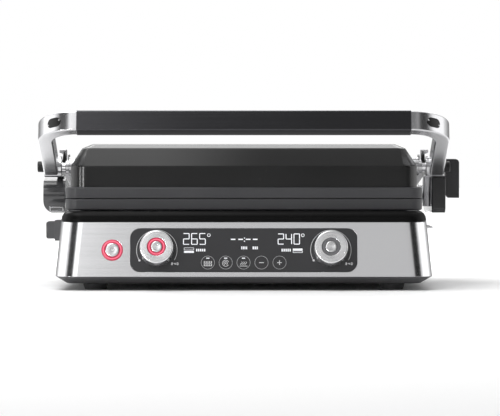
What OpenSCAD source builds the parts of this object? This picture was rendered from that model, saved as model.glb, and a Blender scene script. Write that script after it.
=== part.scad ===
// Contact grill (panini press) with a floating upper cover on a U-shaped handle frame.
// Millimetres. X runs left to right, Y front to back, Z up. The origin is on the table under the
// middle of the press. Levels named *_z are heights above the table.

/* [Grill plates] */
// Width of both cast grill plates
plate_w = 340; // [334:1:342]
// Depth of both cast grill plates
plate_d = 236; // [228:1:238]
// Height of the line where the two plates meet, which is also the hinge height
split_z = 86; // [86:0.5:87]
// Distance from one grill rib to the next
rib_pitch = 11; // [9:0.5:14]

/* [Base] */
// Width of the base where it is widest, at the foot of the steel band
base_w = 357; // [354:1:358]
// Y of the front face at the foot of the steel band
front_low_y = -151.5; // [-153:0.5:-150]
// Y of the front face at the top of the steel band
front_top_y = -140; // [-141:0.5:-139]
// Thickness of the steel sheet
sheet = 1; // [0.8:0.1:1.2]

/* [Cover] */
// Width of the upper housing
cover_w = 331; // [326:1:334]
// Depth of the upper housing
cover_d = 226; // [222:1:228]
// Wall of the upper housing
cover_wall = 2.6; // [2.2:0.2:3]

/* [Handle frame] */
// Slope of the handle arms
arm_slope = 18.5; // [18:0.5:20]
// Distance along the arm from the pivot to the front of the grip
arm_reach = 140; // [136:1:142]
// Height of the arm, square to its slope
arm_h = 19.5; // [18:0.5:20]
// Height of the pivot on which the cover floats
pivot_z = 116; // [114:0.5:117]
// Y of the rear hinge
hinge_y = 147; // [146:0.5:148]

/* [Controls] */
// Distance of each dial from the middle of the panel
dial_x = 82; // [78:1:84]
// Radius of a dial's face
dial_r = 15.6; // [14:0.2:16.4]
// How far a dial stands out of the panel
dial_h = 17.5; // [15:0.5:18]

/* [Hidden] */

$fn = 48;
mid_x = -5;            // the lever stands out on the right, so the body sits a little left of the origin
arc_steps = 8;         // straight pieces in each rounded corner of an outline
gap = 0.3;             // air between parts of different bodies
fit = 0.05;            // radial clearance of a turning shaft

// Heights of the base, from the table up
foot_h = 6.5;
band_z = 13;
band_top_z = 64.5;
rim_top_z = 74.6;
base_rear_y = 158;
band_end_y = 110;      // where the steel band stops and the plastic rear cover begins
taper = 6.5;           // each side and the rear lean in by this over the steel band's height
lean = atan((front_top_y - front_low_y) / (band_top_z - band_z));

// Heights of the plates and the cover
plate_low_z = 75;
plate_top_z = 97;
shoulder_z = 117;
brow_z = 134;
crown_z = 138;

// Control panel, on the leaning front face
panel_z = 38;
panel_y = front_low_y + (panel_z - band_z) * tan(lean);
panel_w = 214;
panel_h = 42;
panel_r = 9.4;
panel_t = 3;
power_x = -124;
power_r = 6.5;
ring_r = 9.9;
push_r = 5.4;
tube_r = 6.8;
light_r = 8.4;
push_travel = 2;

// Handle frame, across X
arm_out_x = 196.5;
arm_t = 14;
arm_in_x = arm_out_x - arm_t;
corner_r = 38;
corner_x = arm_out_x - corner_r;
shaft_r = 4.9;
pin_r = 5;
link_in_x = 179;
link_out_x = 185.5;
shell_in_x = 176.4;
shell_end_r = 17;
shell_front_y = 24;
shell_t = 2.2;
left_shell_x = 198;
right_shell_x = 199.2;
pivot_end_x = 203;
pin_out_x = 193;

// Drip tray, which slides out of the right side
tray_y0 = -58;
tray_y1 = 70;
tray_z0 = 18;
tray_z1 = 44;
door_z1 = 61.5;
drain_x = 148.5;

// Circuit board of the mains supply, on posts
floor_z = 9;
board_z = 16;
board_x = [34, 92];
board_y = [86, 126];

// ---------- shared shapes ----------

function arc(cx, cy, r, a0, a1, n = arc_steps) =
    [for (i = [0:n]) let (a = a0 + (a1 - a0) * i / n) [cx + r * cos(a), cy + r * sin(a)]];

// Rounded rectangle of width w between y0 and y1, counter-clockwise
function outline(w, y0, y1, r) = concat(
    arc(w / 2 - r, y0 + r, r, -90, 0), arc(w / 2 - r, y1 - r, r, 0, 90),
    arc(-w / 2 + r, y1 - r, r, 90, 180), arc(-w / 2 + r, y0 + r, r, 180, 270));

// Solid through rounded rectangles, one for each level [z, width, y0, y1, corner radius]
module loft(levels) {
    n = 4 * (arc_steps + 1);
    points = [for (l = levels) for (p = outline(l[1], l[2], l[3], l[4])) [p[0], p[1], l[0]]];
    sides = [for (k = [0:len(levels) - 2]) for (i = [0:n - 1])
        let (j = (i + 1) % n) [k * n + i, (k + 1) * n + i, (k + 1) * n + j, k * n + j]];
    top = (len(levels) - 1) * n;
    polyhedron(points, concat([[for (i = [0:n - 1]) i]], [[for (i = [n - 1:-1:0]) top + i]], sides));
}

// A drawing in Y and Z, stretched along X from x0 to x1
module along_x(x0, x1) {
    translate([x0, 0, 0]) rotate([90, 0, 90]) linear_extrude(x1 - x0) children();
}

// A drawing in X and Z, stretched along Y from y0 to y1
module along_y(y0, y1) {
    translate([0, y1, 0]) rotate([90, 0, 0]) linear_extrude(y1 - y0) children();
}

module rod_x(x0, x1, y, z, r) {
    translate([x0, y, z]) rotate([0, 90, 0]) cylinder(r = r, h = x1 - x0);
}

// Frame of the leaning front face: X stays, Y runs up the face and Z points out of it
module on_front() {
    translate([0, panel_y, panel_z]) rotate([90 - lean, 0, 0]) children();
}

// Frame of the sloping handle: X stays, Y runs up the arm from the pivot and Z is square to the arm
module on_arm() {
    translate([0, 0, pivot_z]) rotate([-arm_slope, 0, 0]) mirror([0, 1, 0]) children();
}

module box(x0, x1, y0, y1, z0, z1) {
    translate([x0, y0, z0]) cube([x1 - x0, y1 - y0, z1 - z0]);
}

module each_side() {
    children();
    mirror([1, 0, 0]) children();
}

// Tube bent into a serpentine: straight runs along X, joined by half rings
module serpentine(runs, pitch, half, r, z) {
    for (i = [0:runs - 1])
        rod_x(-half, half, (i - (runs - 1) / 2) * pitch, z, r);
    for (i = [0:runs - 2])
        translate([i % 2 == 0 ? half : -half, (i - (runs - 2) / 2) * pitch, z])
            rotate([0, 0, i % 2 == 0 ? -90 : 90])
                rotate_extrude(angle = 180) translate([pitch / 2, 0]) circle(r = r, $fn = 24);
}

// ---------- base ----------

// Outer shape of the base at height z, pulled in by t
function base_level(z, t) = let (up = (z - band_z) / (band_top_z - band_z))
    [z, base_w - 2 * taper * up - 2 * t, front_low_y + (front_top_y - front_low_y) * up + t,
     base_rear_y - taper * up - t, 22 - t];

module base_tray() color("#26272a") {
    base_pan();
    tray_rails();
    for (x = board_x) for (y = board_y) translate([x, y, floor_z]) cylinder(r = 3, h = board_z - floor_z);
}

// Two channels that carry the drip tray, with a stop at their inner end
module tray_rails() {
    for (y = [tray_y0 - 3, tray_y1 - 5]) box(-70, 164, y, y + 8, floor_z, tray_z0 - gap);
    for (y = [tray_y0 - 3, tray_y1 + gap]) box(-70, 164, y, y + 2.7, tray_z0 - gap, 24);
    box(-73, -70, tray_y0 - 3, tray_y1 + 3, floor_z, 24);
}

module base_pan() difference() {
    union() {
        loft([[foot_h, 335, -141, 148, 14], [band_z, base_w, front_low_y, base_rear_y, 22]]);
        loft([base_level(band_z, 3.2), [16.5, base_w - 9, front_low_y + 5, base_rear_y - 5, 18]]);
    }
    loft([[floor_z, 336, -140.5, 147.5, 12], [12, 342, -144, 151, 16], [18, 342, -144, 151, 16]]);
    // cooling slots under the controls and the heater
    for (x = [-120:12:120])
        for (y = [-118, 96])
            box(x - 2, x + 2, y, y + 24, 0, 12);
    for (x = [-150, 150]) for (y = [-90, 110])
        translate([x, y, 0]) cylinder(r = 1.6, h = 12);
}

module rubber_feet() color("#1b1b1d") for (x = [-141, 141]) for (y = [-118, 128])
    translate([x, y, 0]) {
        cylinder(r1 = 10.4, r2 = 11.4, h = foot_h / 2);
        translate([0, 0, foot_h / 2]) cylinder(r = 11.4, h = foot_h / 2);
    }

module base_screws() color("#8f9094") for (x = [-150, 150]) for (y = [-90, 110])
    translate([x, y, 5]) {
        cylinder(r = 3, h = foot_h - 5);
        cylinder(r = 1.5, h = 9);
    }

module door_opening(clear) {
    box(120, 200, tray_y0 - 4 - clear, tray_y1 + 4 + clear, tray_z0 - 1 - clear, door_z1 + clear);
}

module steel_band() color("#c9c9cc") difference() {
    intersection() {
        difference() {
            loft([base_level(band_z, 0), base_level(band_top_z, 0)]);
            loft([base_level(band_z - 1, sheet), base_level(band_top_z + 1, sheet)]);
        }
        box(-200, 200, -200, band_end_y, 0, 100);
    }
    on_front() translate([0, 0, -6]) linear_extrude(12)
        polygon(outline(panel_w, -panel_h / 2, panel_h / 2, panel_r));
    on_front() translate([power_x, 0, -6]) cylinder(r = ring_r + 0.1, h = 12);
    door_opening(0);
    box(-200, -150, -62, -22, 44, 66);
}

module rear_cover() color("#26272a") difference() {
    intersection() {
        difference() {
            loft([base_level(band_z, 0), base_level(band_top_z, 0)]);
            loft([base_level(band_z - 1, 2.4), base_level(band_top_z + 1, 2.4)]);
        }
        box(-200, 200, band_end_y, 200, 0, 100);
    }
    translate([110, 150, 36]) rotate([-90, 0, 0]) cylinder(r = 8, h = 20);
    // air outlet louvres
    for (i = [0:13]) for (z = [28, 40])
        box(-96 + i * 12, -88 + i * 12, 150, 170, z, z + 5);
}

module cord_gland() color("#1b1b1d") translate([110, 0, 36]) rotate([-90, 0, 0]) difference() {
    union() {
        translate([0, 0, 150]) cylinder(r = 7.9, h = 6);
        translate([0, 0, 156]) cylinder(r = 7.9, h = 1);
        translate([0, 0, 157]) cylinder(r = 9.6, h = 2);
        translate([0, 0, 159]) cylinder(r1 = 7.4, r2 = 6.4, h = 6);
    }
    translate([0, 0, 149]) cylinder(r = 3.7, h = 20);
}

module top_rim() color("#202124") difference() {
    loft([[band_top_z, 346, -141, 153, 20], [69.5, 345, -140.5, 152.5, 20],
          [72.4, 341.5, -138.5, 150.5, 18.5], [rim_top_z, 336, -135.5, 148, 16]]);
    loft([[60, 324, -110, 110, 10], [80, 324, -110, 110, 10]]);
    loft([[60, 338, -134, 146, 14], [71, 336, -133, 145, 14]]);
    for (s = [-1, 1]) box(s * 156 - 6.4, s * 156 + 6.4, 133.5, 180, 60, 80);
}

module control_panel() color("#34353a") on_front() difference() {
    translate([0, 0, -panel_t + 0.4]) linear_extrude(panel_t)
        polygon(outline(panel_w - 0.4, -panel_h / 2 + 0.2, panel_h / 2 - 0.2, panel_r - 0.2));
    for (s = [-1, 1]) translate([s * dial_x, 0, -5]) cylinder(r = 7.6, h = 10);
}

module display_module() color("#15161a") on_front() box(-52, 52, -8, 17, -9, -3);

module control_board() color("#2f6b45") on_front() difference() {
    box(-104, 104, -18, 19, -11, -9.4);
    for (s = [-1, 1]) translate([s * dial_x, 0, -12]) cylinder(r = 3, h = 4);
}

module power_board() color("#8a6a3a") translate([0, 0, board_z]) {
    box(board_x[0] - 5, board_x[1] + 5, board_y[0] - 5, board_y[1] + 5, 0, 1.6);
    box(32, 58, 88, 120, 1.6, 20);
    box(66, 84, 88, 104, 1.6, 14);
    for (y = [110, 119]) translate([74, y, 1.6]) cylinder(r = 3.6, h = 16);
}

// Rotary encoder with the hollow stem that carries the dial
module encoder(x) color("#6e7075") on_front() translate([x, 0, 0]) difference() {
    union() {
        translate([-6.5, -6.5, -9.3]) cube([13, 13, 6.2]);
        translate([0, 0, -3.2]) cylinder(r = 5.5, h = 6);
    }
    translate([0, 0, -3]) cylinder(r = 2.7, h = 8);
}

module power_switch() color("#55575c") on_front() translate([power_x, 0, 0]) {
    translate([-7, -7, -14]) cube([14, 14, 6]);
    translate([0, 0, -8]) cylinder(r = 2, h = 1.2);
}

module power_light_ring() color("#c8283c") on_front() translate([power_x, 0, 0]) difference() {
    union() {
        translate([0, 0, -4]) cylinder(r = ring_r, h = 5);
        translate([0, 0, -4]) cylinder(r = ring_r + 2, h = 2.8);
    }
    translate([0, 0, -8]) cylinder(r = power_r + gap, h = 12);
}

// Lit collar between a dial and its middle button, on its own tube through the dial
module light_ring(x) on_front() translate([x, 0, 0]) difference() {
    union() {
        translate([0, 0, dial_h - 2.2]) cylinder(r = light_r, h = 2);
        translate([0, 0, 2.8]) cylinder(r = tube_r, h = dial_h - 5);
    }
    translate([0, 0, 0]) cylinder(r = push_r + gap, h = 30);
}

module left_light_ring() color("#c8283c") light_ring(-dial_x);
module right_light_ring() color("#5b5c60") light_ring(dial_x);

// Pan under the lower heater, hung by its flange, with a hole for the fat
module lower_heat_tray() color("#9fa0a4") difference() {
    union() {
        loft([[58.5, 300, -92, 92, 8], [66, 318, -106, 106, 10]]);
        loft([[66, 334, -114, 114, 12], [66.8, 334, -114, 114, 12]]);
        for (s = [-1, 1]) box(s * 165 - 1.5, s * 165 + 1.5, -90, 90, 66.8, 71);
    }
    loft([[59.3, 298.4, -91.2, 91.2, 7.6], [67, 316.4, -105.3, 105.3, 9.8]]);
    translate([drain_x, 0, 50]) cylinder(r = 6, h = 20);
}

module lower_heater() color("#7b6f63") serpentine(4, 46, 118, 3.2, 68.5);

module lower_thermostat() color("#b9babd") translate([30, 0, 59.3]) {
    cylinder(r = 8, h = 5);
    translate([0, 0, 5]) cylinder(r = 5, h = 3);
}

// Cast plate: a flat-sided rim round a ribbed floor
module lower_plate() color("#3b3b3e") difference() {
    union() {
        difference() {
            loft([[plate_low_z, plate_w - 2, -plate_d / 2 + 1, plate_d / 2 - 1, 11],
                  [plate_low_z + 1, plate_w, -plate_d / 2, plate_d / 2, 12],
                  [split_z, plate_w, -plate_d / 2, plate_d / 2, 12]]);
            loft([[78.6, plate_w - 18, -plate_d / 2 + 9, plate_d / 2 - 9, 8],
                  [split_z + 1, plate_w - 12, -plate_d / 2 + 6, plate_d / 2 - 6, 10]]);
        }
        loft([[72.2, 320, -108, 108, 9], [plate_low_z, 320, -108, 108, 9]]);
        for (x = [-14:14]) box(x * rib_pitch - 1.6, x * rib_pitch + 1.6, -98, 98, 78, 81.2);
    }
    translate([drain_x, 0, 60]) cylinder(r = 3, h = 30);
}

// Steel tabs on which the plates sit and latch
module lower_plate_tabs() color("#d8d8da") for (s = [-1, 1]) for (y = [-117.5, 112])
    box(s * 160 - 5, s * 160 + 5, y, y + 5, rim_top_z, plate_low_z);

module release_bezel() color("#1d1e20") difference() {
    box(-183, -166, -61, -23, 44.6, 64.4);
    box(-190, -160, -57, -27, 46.2, 63.5);
}

module hinge_bracket(s) color("#8b8d92") difference() {
    along_x(s * 156 - 6, s * 156 + 6) union() {
        translate([hinge_y, split_z]) circle(r = 13);
        translate([hinge_y - 13, floor_z]) square([8, split_z - floor_z]);
    }
    rod_x(s * 156 - 10, s * 156 + 10, hinge_y, split_z, pin_r);
}

module left_hinge_bracket() hinge_bracket(-1);
module right_hinge_bracket() hinge_bracket(1);

module hinge_pin() color("#c4c5c9") {
    rod_x(148, pin_out_x, hinge_y, split_z, pin_r);
    rod_x(145.5, 148, hinge_y, split_z, pin_r + 2.5);
}

module left_hinge_pin() mirror([1, 0, 0]) hinge_pin();
module right_hinge_pin() hinge_pin();

// Torsion spring round the pin, between the bracket and the arm
module hinge_spring() color("#a3a5aa") for (i = [0:4])
    translate([163.6 + i * 2.5, hinge_y, split_z]) rotate([0, 90, 0])
        rotate_extrude() translate([7.2, 0]) circle(r = 1.2, $fn = 20);

module left_hinge_spring() mirror([1, 0, 0]) hinge_spring();
module right_hinge_spring() hinge_spring();

// ---------- handle frame ----------

module grip() color("#3a3a3d") on_arm() difference() {
    along_x(-corner_x, corner_x)
        polygon([[arm_reach - arm_t - 0.5, -arm_h / 2], [arm_reach - arm_t + 0.5, -arm_h / 2 - 0.5],
                 [arm_reach - 0.5, -arm_h / 2 - 0.5], [arm_reach + 0.5, -arm_h / 2 + 0.5],
                 [arm_reach + 0.5, arm_h / 2 - 0.5], [arm_reach - 0.5, arm_h / 2 + 0.5],
                 [arm_reach - arm_t + 0.5, arm_h / 2 + 0.5], [arm_reach - arm_t - 0.5, arm_h / 2 - 0.5]]);
    along_x(-corner_x - 1, corner_x + 1)
        translate([arm_reach - arm_t + 3, -5.5]) square([arm_t - 6, 11]);
}

module grip_core() color("#77797e") on_arm()
    box(-corner_x, corner_x, arm_reach - arm_t + 3.1, arm_reach - 3.1, -5.4, 5.4);

// One cast arm: the corner by the grip, the slope down to the pivot eye, and the link to the hinge
module arm() color("#b4b5b8") difference() {
    union() {
        on_arm() translate([0, 0, -arm_h / 2]) linear_extrude(arm_h) polygon(concat(
            arc(corner_x, arm_reach - corner_r, corner_r, 90, 0, 18), [[arm_out_x, 0], [arm_in_x, 0]],
            arc(corner_x, arm_reach - corner_r, corner_r - arm_t, 0, 90, 18)));
        rod_x(link_in_x, arm_out_x, 0, pivot_z, arm_h / 2 + 0.6);
        along_x(link_in_x, link_out_x)
            polygon([[0, 106], [0, 124], [38, 121], [62, 96.5], [hinge_y, 96.5],
                     [hinge_y, 75.5], [50, 76], [32, 106]]);
        rod_x(link_in_x, link_out_x, hinge_y, split_z, 11.5);
    }
    rod_x(150, 200, 0, pivot_z, shaft_r);
    rod_x(150, 200, hinge_y, split_z, pin_r + fit);
    on_arm() translate([corner_x, arm_reach - corner_r, 0]) rotate([0, 0, -35]) cap_pocket(0.1);
}

// Oval pocket in the outside of the handle's corner
module cap_pocket(clear) {
    translate([0, corner_r + 3, 0]) rotate([90, 0, 0]) linear_extrude(5.5)
        polygon(concat(arc(3.1, 0, 4.6 + clear, -90, 90, 12), arc(-3.1, 0, 4.6 + clear, 90, 270, 12)));
}

module left_arm() mirror([1, 0, 0]) arm();
module right_arm() arm();

// Dark oval plug that hides the screw in the corner of the handle
module corner_cap() on_arm() translate([corner_x, arm_reach - corner_r, 0]) rotate([0, 0, -35])
    color("#1c1c1e") intersection() {
        cap_pocket(0);
        translate([0, 0, -10]) cylinder(r = corner_r + 0.3, h = 20, $fn = 96);
    }

module left_corner_cap() mirror([1, 0, 0]) corner_cap();
module right_corner_cap() corner_cap();

module pivot_shaft() color("#dcdde0") {
    rod_x(152, arm_out_x, 0, pivot_z, shaft_r);
    rod_x(149, 152, 0, pivot_z, shaft_r + 2);
}

module left_pivot_shaft() mirror([1, 0, 0]) pivot_shaft();
module right_pivot_shaft() pivot_shaft();

module pivot_cap() color("#222326") rod_x(arm_out_x, pivot_end_x, 0, pivot_z, 5.4);

module left_pivot_cap() mirror([1, 0, 0]) pivot_cap();
module right_pivot_cap() pivot_cap();

// Side view of a hinge cover, pulled in by t
module stadium(t) polygon(concat(
    arc(shell_front_y, split_z + 1, shell_end_r - t, 90, 270, 16),
    arc(hinge_y, split_z, shell_end_r - t, -90, 90, 16)));

// Section of the left cover in X and Z, round at its outer lower edge, pulled in by t
module left_section(t) polygon(concat([[shell_in_x, 60], [left_shell_x - 12, 60]],
    arc(left_shell_x - 12, 81.4, 12 - t, -90, 0),
    [[left_shell_x - t, 102], [left_shell_x - 2 - t, 110], [shell_in_x, 110]]));

module left_hinge_cover() color("#2a2b2e") mirror([1, 0, 0]) difference() {
    intersection() {
        along_x(shell_in_x, left_shell_x) stadium(0);
        along_y(0, 180) left_section(0);
    }
    // room for the link and the hinge pin, and the way in for both
    intersection() {
        along_x(shell_in_x + shell_t, left_shell_x) stadium(shell_t);
        along_y(0, 180) left_section(shell_t);
    }
    box(link_in_x - gap, link_out_x + gap, 26, 64, 90, 110);
    rod_x(shell_in_x - 1, shell_in_x + 4, hinge_y, split_z, 10);
}

// The right cover is a flat-faced block beside the link, with a slot in its side for the lever
module right_hinge_cover() color("#202124") difference() {
    union() {
        along_x(link_out_x, right_shell_x) polygon([[6, 74], [10, 70.5], [hinge_y, 70],
            [hinge_y, 102.2], [8, 107.2], [6, 105]]);
        rod_x(link_out_x, right_shell_x, hinge_y, split_z, shell_end_r);
    }
    along_x(link_out_x + shell_t, right_shell_x - shell_t) union() {
        polygon([[8.2, 75], [11, 72.7], [hinge_y, 72.2], [hinge_y, 100], [9, 104.9]]);
        translate([hinge_y, split_z]) circle(r = shell_end_r - shell_t);
    }
    rod_x(link_out_x - 1, link_out_x + 4, hinge_y, split_z, pin_r + 1);
    box(right_shell_x - 4, right_shell_x + 1, 18, 50, 90, 98);
}

// Sliding lever that frees the hinge to open flat
module hinge_lever() color("#26272a") {
    difference() {
        along_y(20, 58) polygon(concat([[right_shell_x + gap, 88], [right_shell_x + 3, 85]],
            [[213.4, 85]], arc(209.4, 119.6, 4, 0, 90), [[right_shell_x + gap, 123.6]]));
        // thumb grooves in the outer face
        for (z = [92:6:116]) box(212.4, 220, 24, 54, z - 1, z + 1);
    }
    box(right_shell_x - 3, right_shell_x + gap, 30, 49, 91, 97);
}

// ---------- cover ----------

module upper_housing() color("#2b2b2d") difference() {
    cover_shape(0);
    cover_shape(cover_wall);
    each_side() rod_x(120, 200, 0, pivot_z, 7);
    box(-180, -140, -75.3, -44.7, 101.7, 112.3);
}

module cover_shape(t) {
    w = cover_w - 2 * t;
    d = cover_d / 2 - t;
    drop = t > 0 ? 1 : 0;
    loft([[plate_top_z - drop, w, -d, d, 15 - t], [shoulder_z - t / 2, w, -d, d, 15 - t],
          [brow_z - t, w - 22, -d + 11, d - 11, 8 - t / 2], [crown_z - t, w - 42, -d + 21, d - 21, 5 - t / 2]]);
}

// Lug on the side of the cover that hangs on the pivot shaft, with a fin that stops the tilt
module pivot_lug() color("#5f6166") difference() {
    union() {
        rod_x(153, 175.4, 0, pivot_z, 6.9);
        along_x(cover_w / 2, 175) union() {
            translate([0, pivot_z]) circle(r = 9.4);
            polygon([[-9.4, pivot_z], [9.4, pivot_z], [12, 104], [8, 98], [-8, 98], [-12, 104]]);
        }
        along_x(172, 178.4) polygon([[2, pivot_z + 5], [8, pivot_z + 1], [14, pivot_z + 6], [14, 133], [2, 133]]);
    }
    rod_x(140, 180, 0, pivot_z, shaft_r + fit);
}

module left_pivot_lug() mirror([1, 0, 0]) pivot_lug();
module right_pivot_lug() pivot_lug();

module upper_heat_shield() color("#9fa0a4") difference() {
    loft([[plate_top_z, 292, -100, 100, 8], [106, 290, -99, 99, 8], [111, 280, -94, 94, 8]]);
    loft([[96, 290.4, -99.2, 99.2, 7.2], [105.6, 288.4, -98.2, 98.2, 7.2], [110.2, 278.8, -93.4, 93.4, 7.2]]);
}

module upper_heater() color("#7b6f63") serpentine(4, 46, 112, 3.2, 103);

module upper_thermostat() color("#b9babd") translate([30, 0, plate_top_z]) {
    cylinder(r = 8, h = 5);
    translate([0, 0, 5]) cylinder(r = 5, h = 3);
}

module upper_plate() color("#3b3b3e") {
    base_z = split_z + 0.4;
    difference() {
        loft([[base_z, plate_w, -plate_d / 2, plate_d / 2, 12],
              [plate_top_z - 1, plate_w, -plate_d / 2, plate_d / 2, 12],
              [plate_top_z, plate_w - 2, -plate_d / 2 + 1, plate_d / 2 - 1, 11]]);
        loft([[base_z - 1, plate_w - 12, -plate_d / 2 + 6, plate_d / 2 - 6, 10],
              [92.6, plate_w - 18, -plate_d / 2 + 9, plate_d / 2 - 9, 8]]);
    }
    for (x = [-14:13]) box((x + 0.5) * rib_pitch - 1.6, (x + 0.5) * rib_pitch + 1.6, -98, 98, 90, 93);
}

module upper_plate_tabs() color("#d8d8da") for (s = [-1, 1]) for (y = [-60, 60])
    box(s * 154 - 5, s * 154 + 5, y - 8, y + 8, plate_top_z, plate_top_z + 2);

// ---------- controls and other moving pieces ----------

// Hollow metal dial with a pointer notch
module dial(x) color("#cfd0d3") on_front() translate([x, 0, 0]) difference() {
    union() {
        translate([0, 0, 1]) cylinder(r = dial_r + 0.9, h = 2);
        translate([0, 0, 3]) cylinder(r1 = dial_r + 0.9, r2 = dial_r, h = dial_h - 3.8);
        translate([0, 0, dial_h - 0.8]) cylinder(r1 = dial_r, r2 = dial_r - 0.8, h = 0.8);
    }
    translate([0, 0, dial_h - 2.6]) cylinder(r = light_r + gap, h = 4);
    translate([0, 0, 0]) cylinder(r = tube_r + 2 * fit, h = 30);
    translate([0, 0, 0]) cylinder(r = dial_r - 1.4, h = 6);
    rotate([0, 0, -25]) translate([13.2, 0, dial_h - 0.4]) cylinder(r = 0.9, h = 2);
}

module left_dial() dial(-dial_x);
module right_dial() dial(dial_x);

module push(x) color("#b9babd") on_front() translate([x, 0, 0]) {
    translate([0, 0, dial_h - 3.4]) cylinder(r = push_r, h = 3.4);
    translate([0, 0, 0]) cylinder(r = 2.5, h = dial_h - 3);
}

module left_push() push(-dial_x);
module right_push() push(dial_x);

module power_button() color("#c3c4c7") on_front() translate([power_x, 0, -4.4])
    cylinder(r = power_r, h = 6.2);

module lower_release() color("#26272a") {
    along_y(-56.7, -27.3) polygon(concat([[-166, 46.5], [-166, 63.2]],
        arc(-189.5, 61.2, 2, 90, 180, 4), arc(-189.5, 48.5, 2, 180, 270, 4)));
}

module upper_release() color("#26272a") {
    box(-cover_w / 2 - 1.2, -153, -75, -45, 102, 112);
}

module drip_tray() color("#3a3b3e") difference() {
    box(-68, 168, tray_y0, tray_y1, tray_z0, tray_z1);
    box(-66, 165.5, tray_y0 + 4.5, tray_y1 - 4.5, tray_z0 + 2, tray_z1 + 1);
}

// Steel-faced front of the drip tray, in the plane of the side wall, with a finger lip
module drip_tray_front() color("#c9c9cc") difference() {
    union() {
        intersection() {
            loft([base_level(band_z, 0.1), base_level(band_top_z, 0.1)]);
            box(168, 200, tray_y0 - 3.7, tray_y1 + 3.7, tray_z0 - 0.7, door_z1 - gap);
        }
        box(171, 184.4, tray_y0 + 24, tray_y1 - 24, 56.3, 57.8);
    }
    box(160, 169.4, tray_y0 - 10, tray_y1 + 10, tray_z1 + 2, door_z1 + 2);
}

// ---------- every node, in place ----------

module placed() translate([mid_x, 0, 0]) children();

placed() base_tray();
placed() rubber_feet();
placed() base_screws();
placed() steel_band();
placed() rear_cover();
placed() cord_gland();
placed() top_rim();
placed() control_panel();
placed() display_module();
placed() control_board();
placed() power_board();
placed() encoder(-dial_x);  // left_encoder
placed() encoder(dial_x);  // right_encoder
placed() power_switch();
placed() power_light_ring();
placed() left_light_ring();
placed() right_light_ring();
placed() lower_heat_tray();
placed() lower_heater();
placed() lower_thermostat();
placed() lower_plate();
placed() lower_plate_tabs();
placed() release_bezel();
placed() left_hinge_bracket();
placed() right_hinge_bracket();
placed() left_hinge_pin();
placed() right_hinge_pin();
placed() left_hinge_spring();
placed() right_hinge_spring();
placed() grip();
placed() grip_core();
placed() left_arm();
placed() right_arm();
placed() left_corner_cap();
placed() right_corner_cap();
placed() left_pivot_shaft();
placed() right_pivot_shaft();
placed() left_pivot_cap();
placed() right_pivot_cap();
placed() left_hinge_cover();
placed() right_hinge_cover();
placed() upper_housing();
placed() left_pivot_lug();
placed() right_pivot_lug();
placed() upper_heat_shield();
placed() upper_heater();
placed() upper_thermostat();
placed() upper_plate();
placed() upper_plate_tabs();
placed() left_dial();
placed() right_dial();
placed() left_push();
placed() right_push();
placed() power_button();
placed() hinge_lever();
placed() lower_release();
placed() upper_release();
placed() drip_tray();
placed() drip_tray_front();
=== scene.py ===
# %% [markdown]
# # A contact grill, from its frame to its finish
#
# The grill is a closed panini press on a worktop: a steel-wrapped base with a dark control panel,
# two ribbed plates, and a cover that floats on a U-shaped handle. Its engineering model comes first
# and holds every size and every joint. This script dresses that model: each cell says what a piece
# or a finish is on the real grill, how it could be made, and why it is made this way.

# %% Load the frame
import math

import bmesh
import bpy
from mathutils import Matrix, Vector


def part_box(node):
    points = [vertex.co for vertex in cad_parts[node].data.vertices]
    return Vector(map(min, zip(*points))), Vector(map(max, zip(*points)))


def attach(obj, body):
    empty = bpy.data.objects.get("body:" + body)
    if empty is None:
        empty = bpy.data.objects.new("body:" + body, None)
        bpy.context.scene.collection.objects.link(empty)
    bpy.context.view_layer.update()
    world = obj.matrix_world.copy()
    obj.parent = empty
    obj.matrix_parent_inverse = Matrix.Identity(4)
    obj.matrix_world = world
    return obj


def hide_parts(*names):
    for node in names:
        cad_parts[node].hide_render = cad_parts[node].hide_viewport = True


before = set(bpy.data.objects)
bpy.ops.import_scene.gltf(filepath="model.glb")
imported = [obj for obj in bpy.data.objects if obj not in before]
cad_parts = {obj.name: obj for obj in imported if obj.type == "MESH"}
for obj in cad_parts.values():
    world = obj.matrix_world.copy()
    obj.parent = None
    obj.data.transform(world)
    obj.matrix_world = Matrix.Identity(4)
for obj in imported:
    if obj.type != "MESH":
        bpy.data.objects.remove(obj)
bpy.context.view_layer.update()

MM = 0.001

# %% [markdown]
# ## Driving places
#
# Everything is placed from the frame. The middle of the body is the middle of the steel band, because
# the release lever makes the whole grill wider on one side. The front of the band leans back, so the
# controls get a small frame of their own: x to the right, u up the slope and d out of it.

# %% Places taken from the frame
band_low, band_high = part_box("steel_band")
MID_X = (band_low.x + band_high.x) / 2
FRONT_LOW = band_low.y
FRONT_SETBACK, FRONT_RISE = 11.5, 51.5
FRONT_LEAN = math.atan(FRONT_SETBACK / FRONT_RISE)
PANEL_Z, PANEL_ABOVE_EDGE = 0.038, 0.025
PANEL_ORIGIN = Vector((MID_X, FRONT_LOW + PANEL_ABOVE_EDGE * math.tan(FRONT_LEAN), PANEL_Z))
FRONT_UP = Vector((0, math.sin(FRONT_LEAN), math.cos(FRONT_LEAN)))
FRONT_OUT = Vector((0, -math.cos(FRONT_LEAN), math.sin(FRONT_LEAN)))


def on_front(x, u, d):
    """A point on the leaning front, x, u and d in millimetres from the panel's centre."""
    return PANEL_ORIGIN + Vector((x * MM, 0, 0)) + FRONT_UP * (u * MM) + FRONT_OUT * (d * MM)


FRONT_TURN = Matrix((Vector((1, 0, 0)), FRONT_UP, FRONT_OUT)).transposed()
print("middle of the body at", round(MID_X, 4))
print("the front leans", round(math.degrees(FRONT_LEAN), 2), "degrees")

# %% [markdown]
# ## Camera
#
# A product view from straight ahead: a long lens a few metres away, a little above the worktop, so
# that the top of the cover is just out of sight and the underside of the handle shows.

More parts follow.
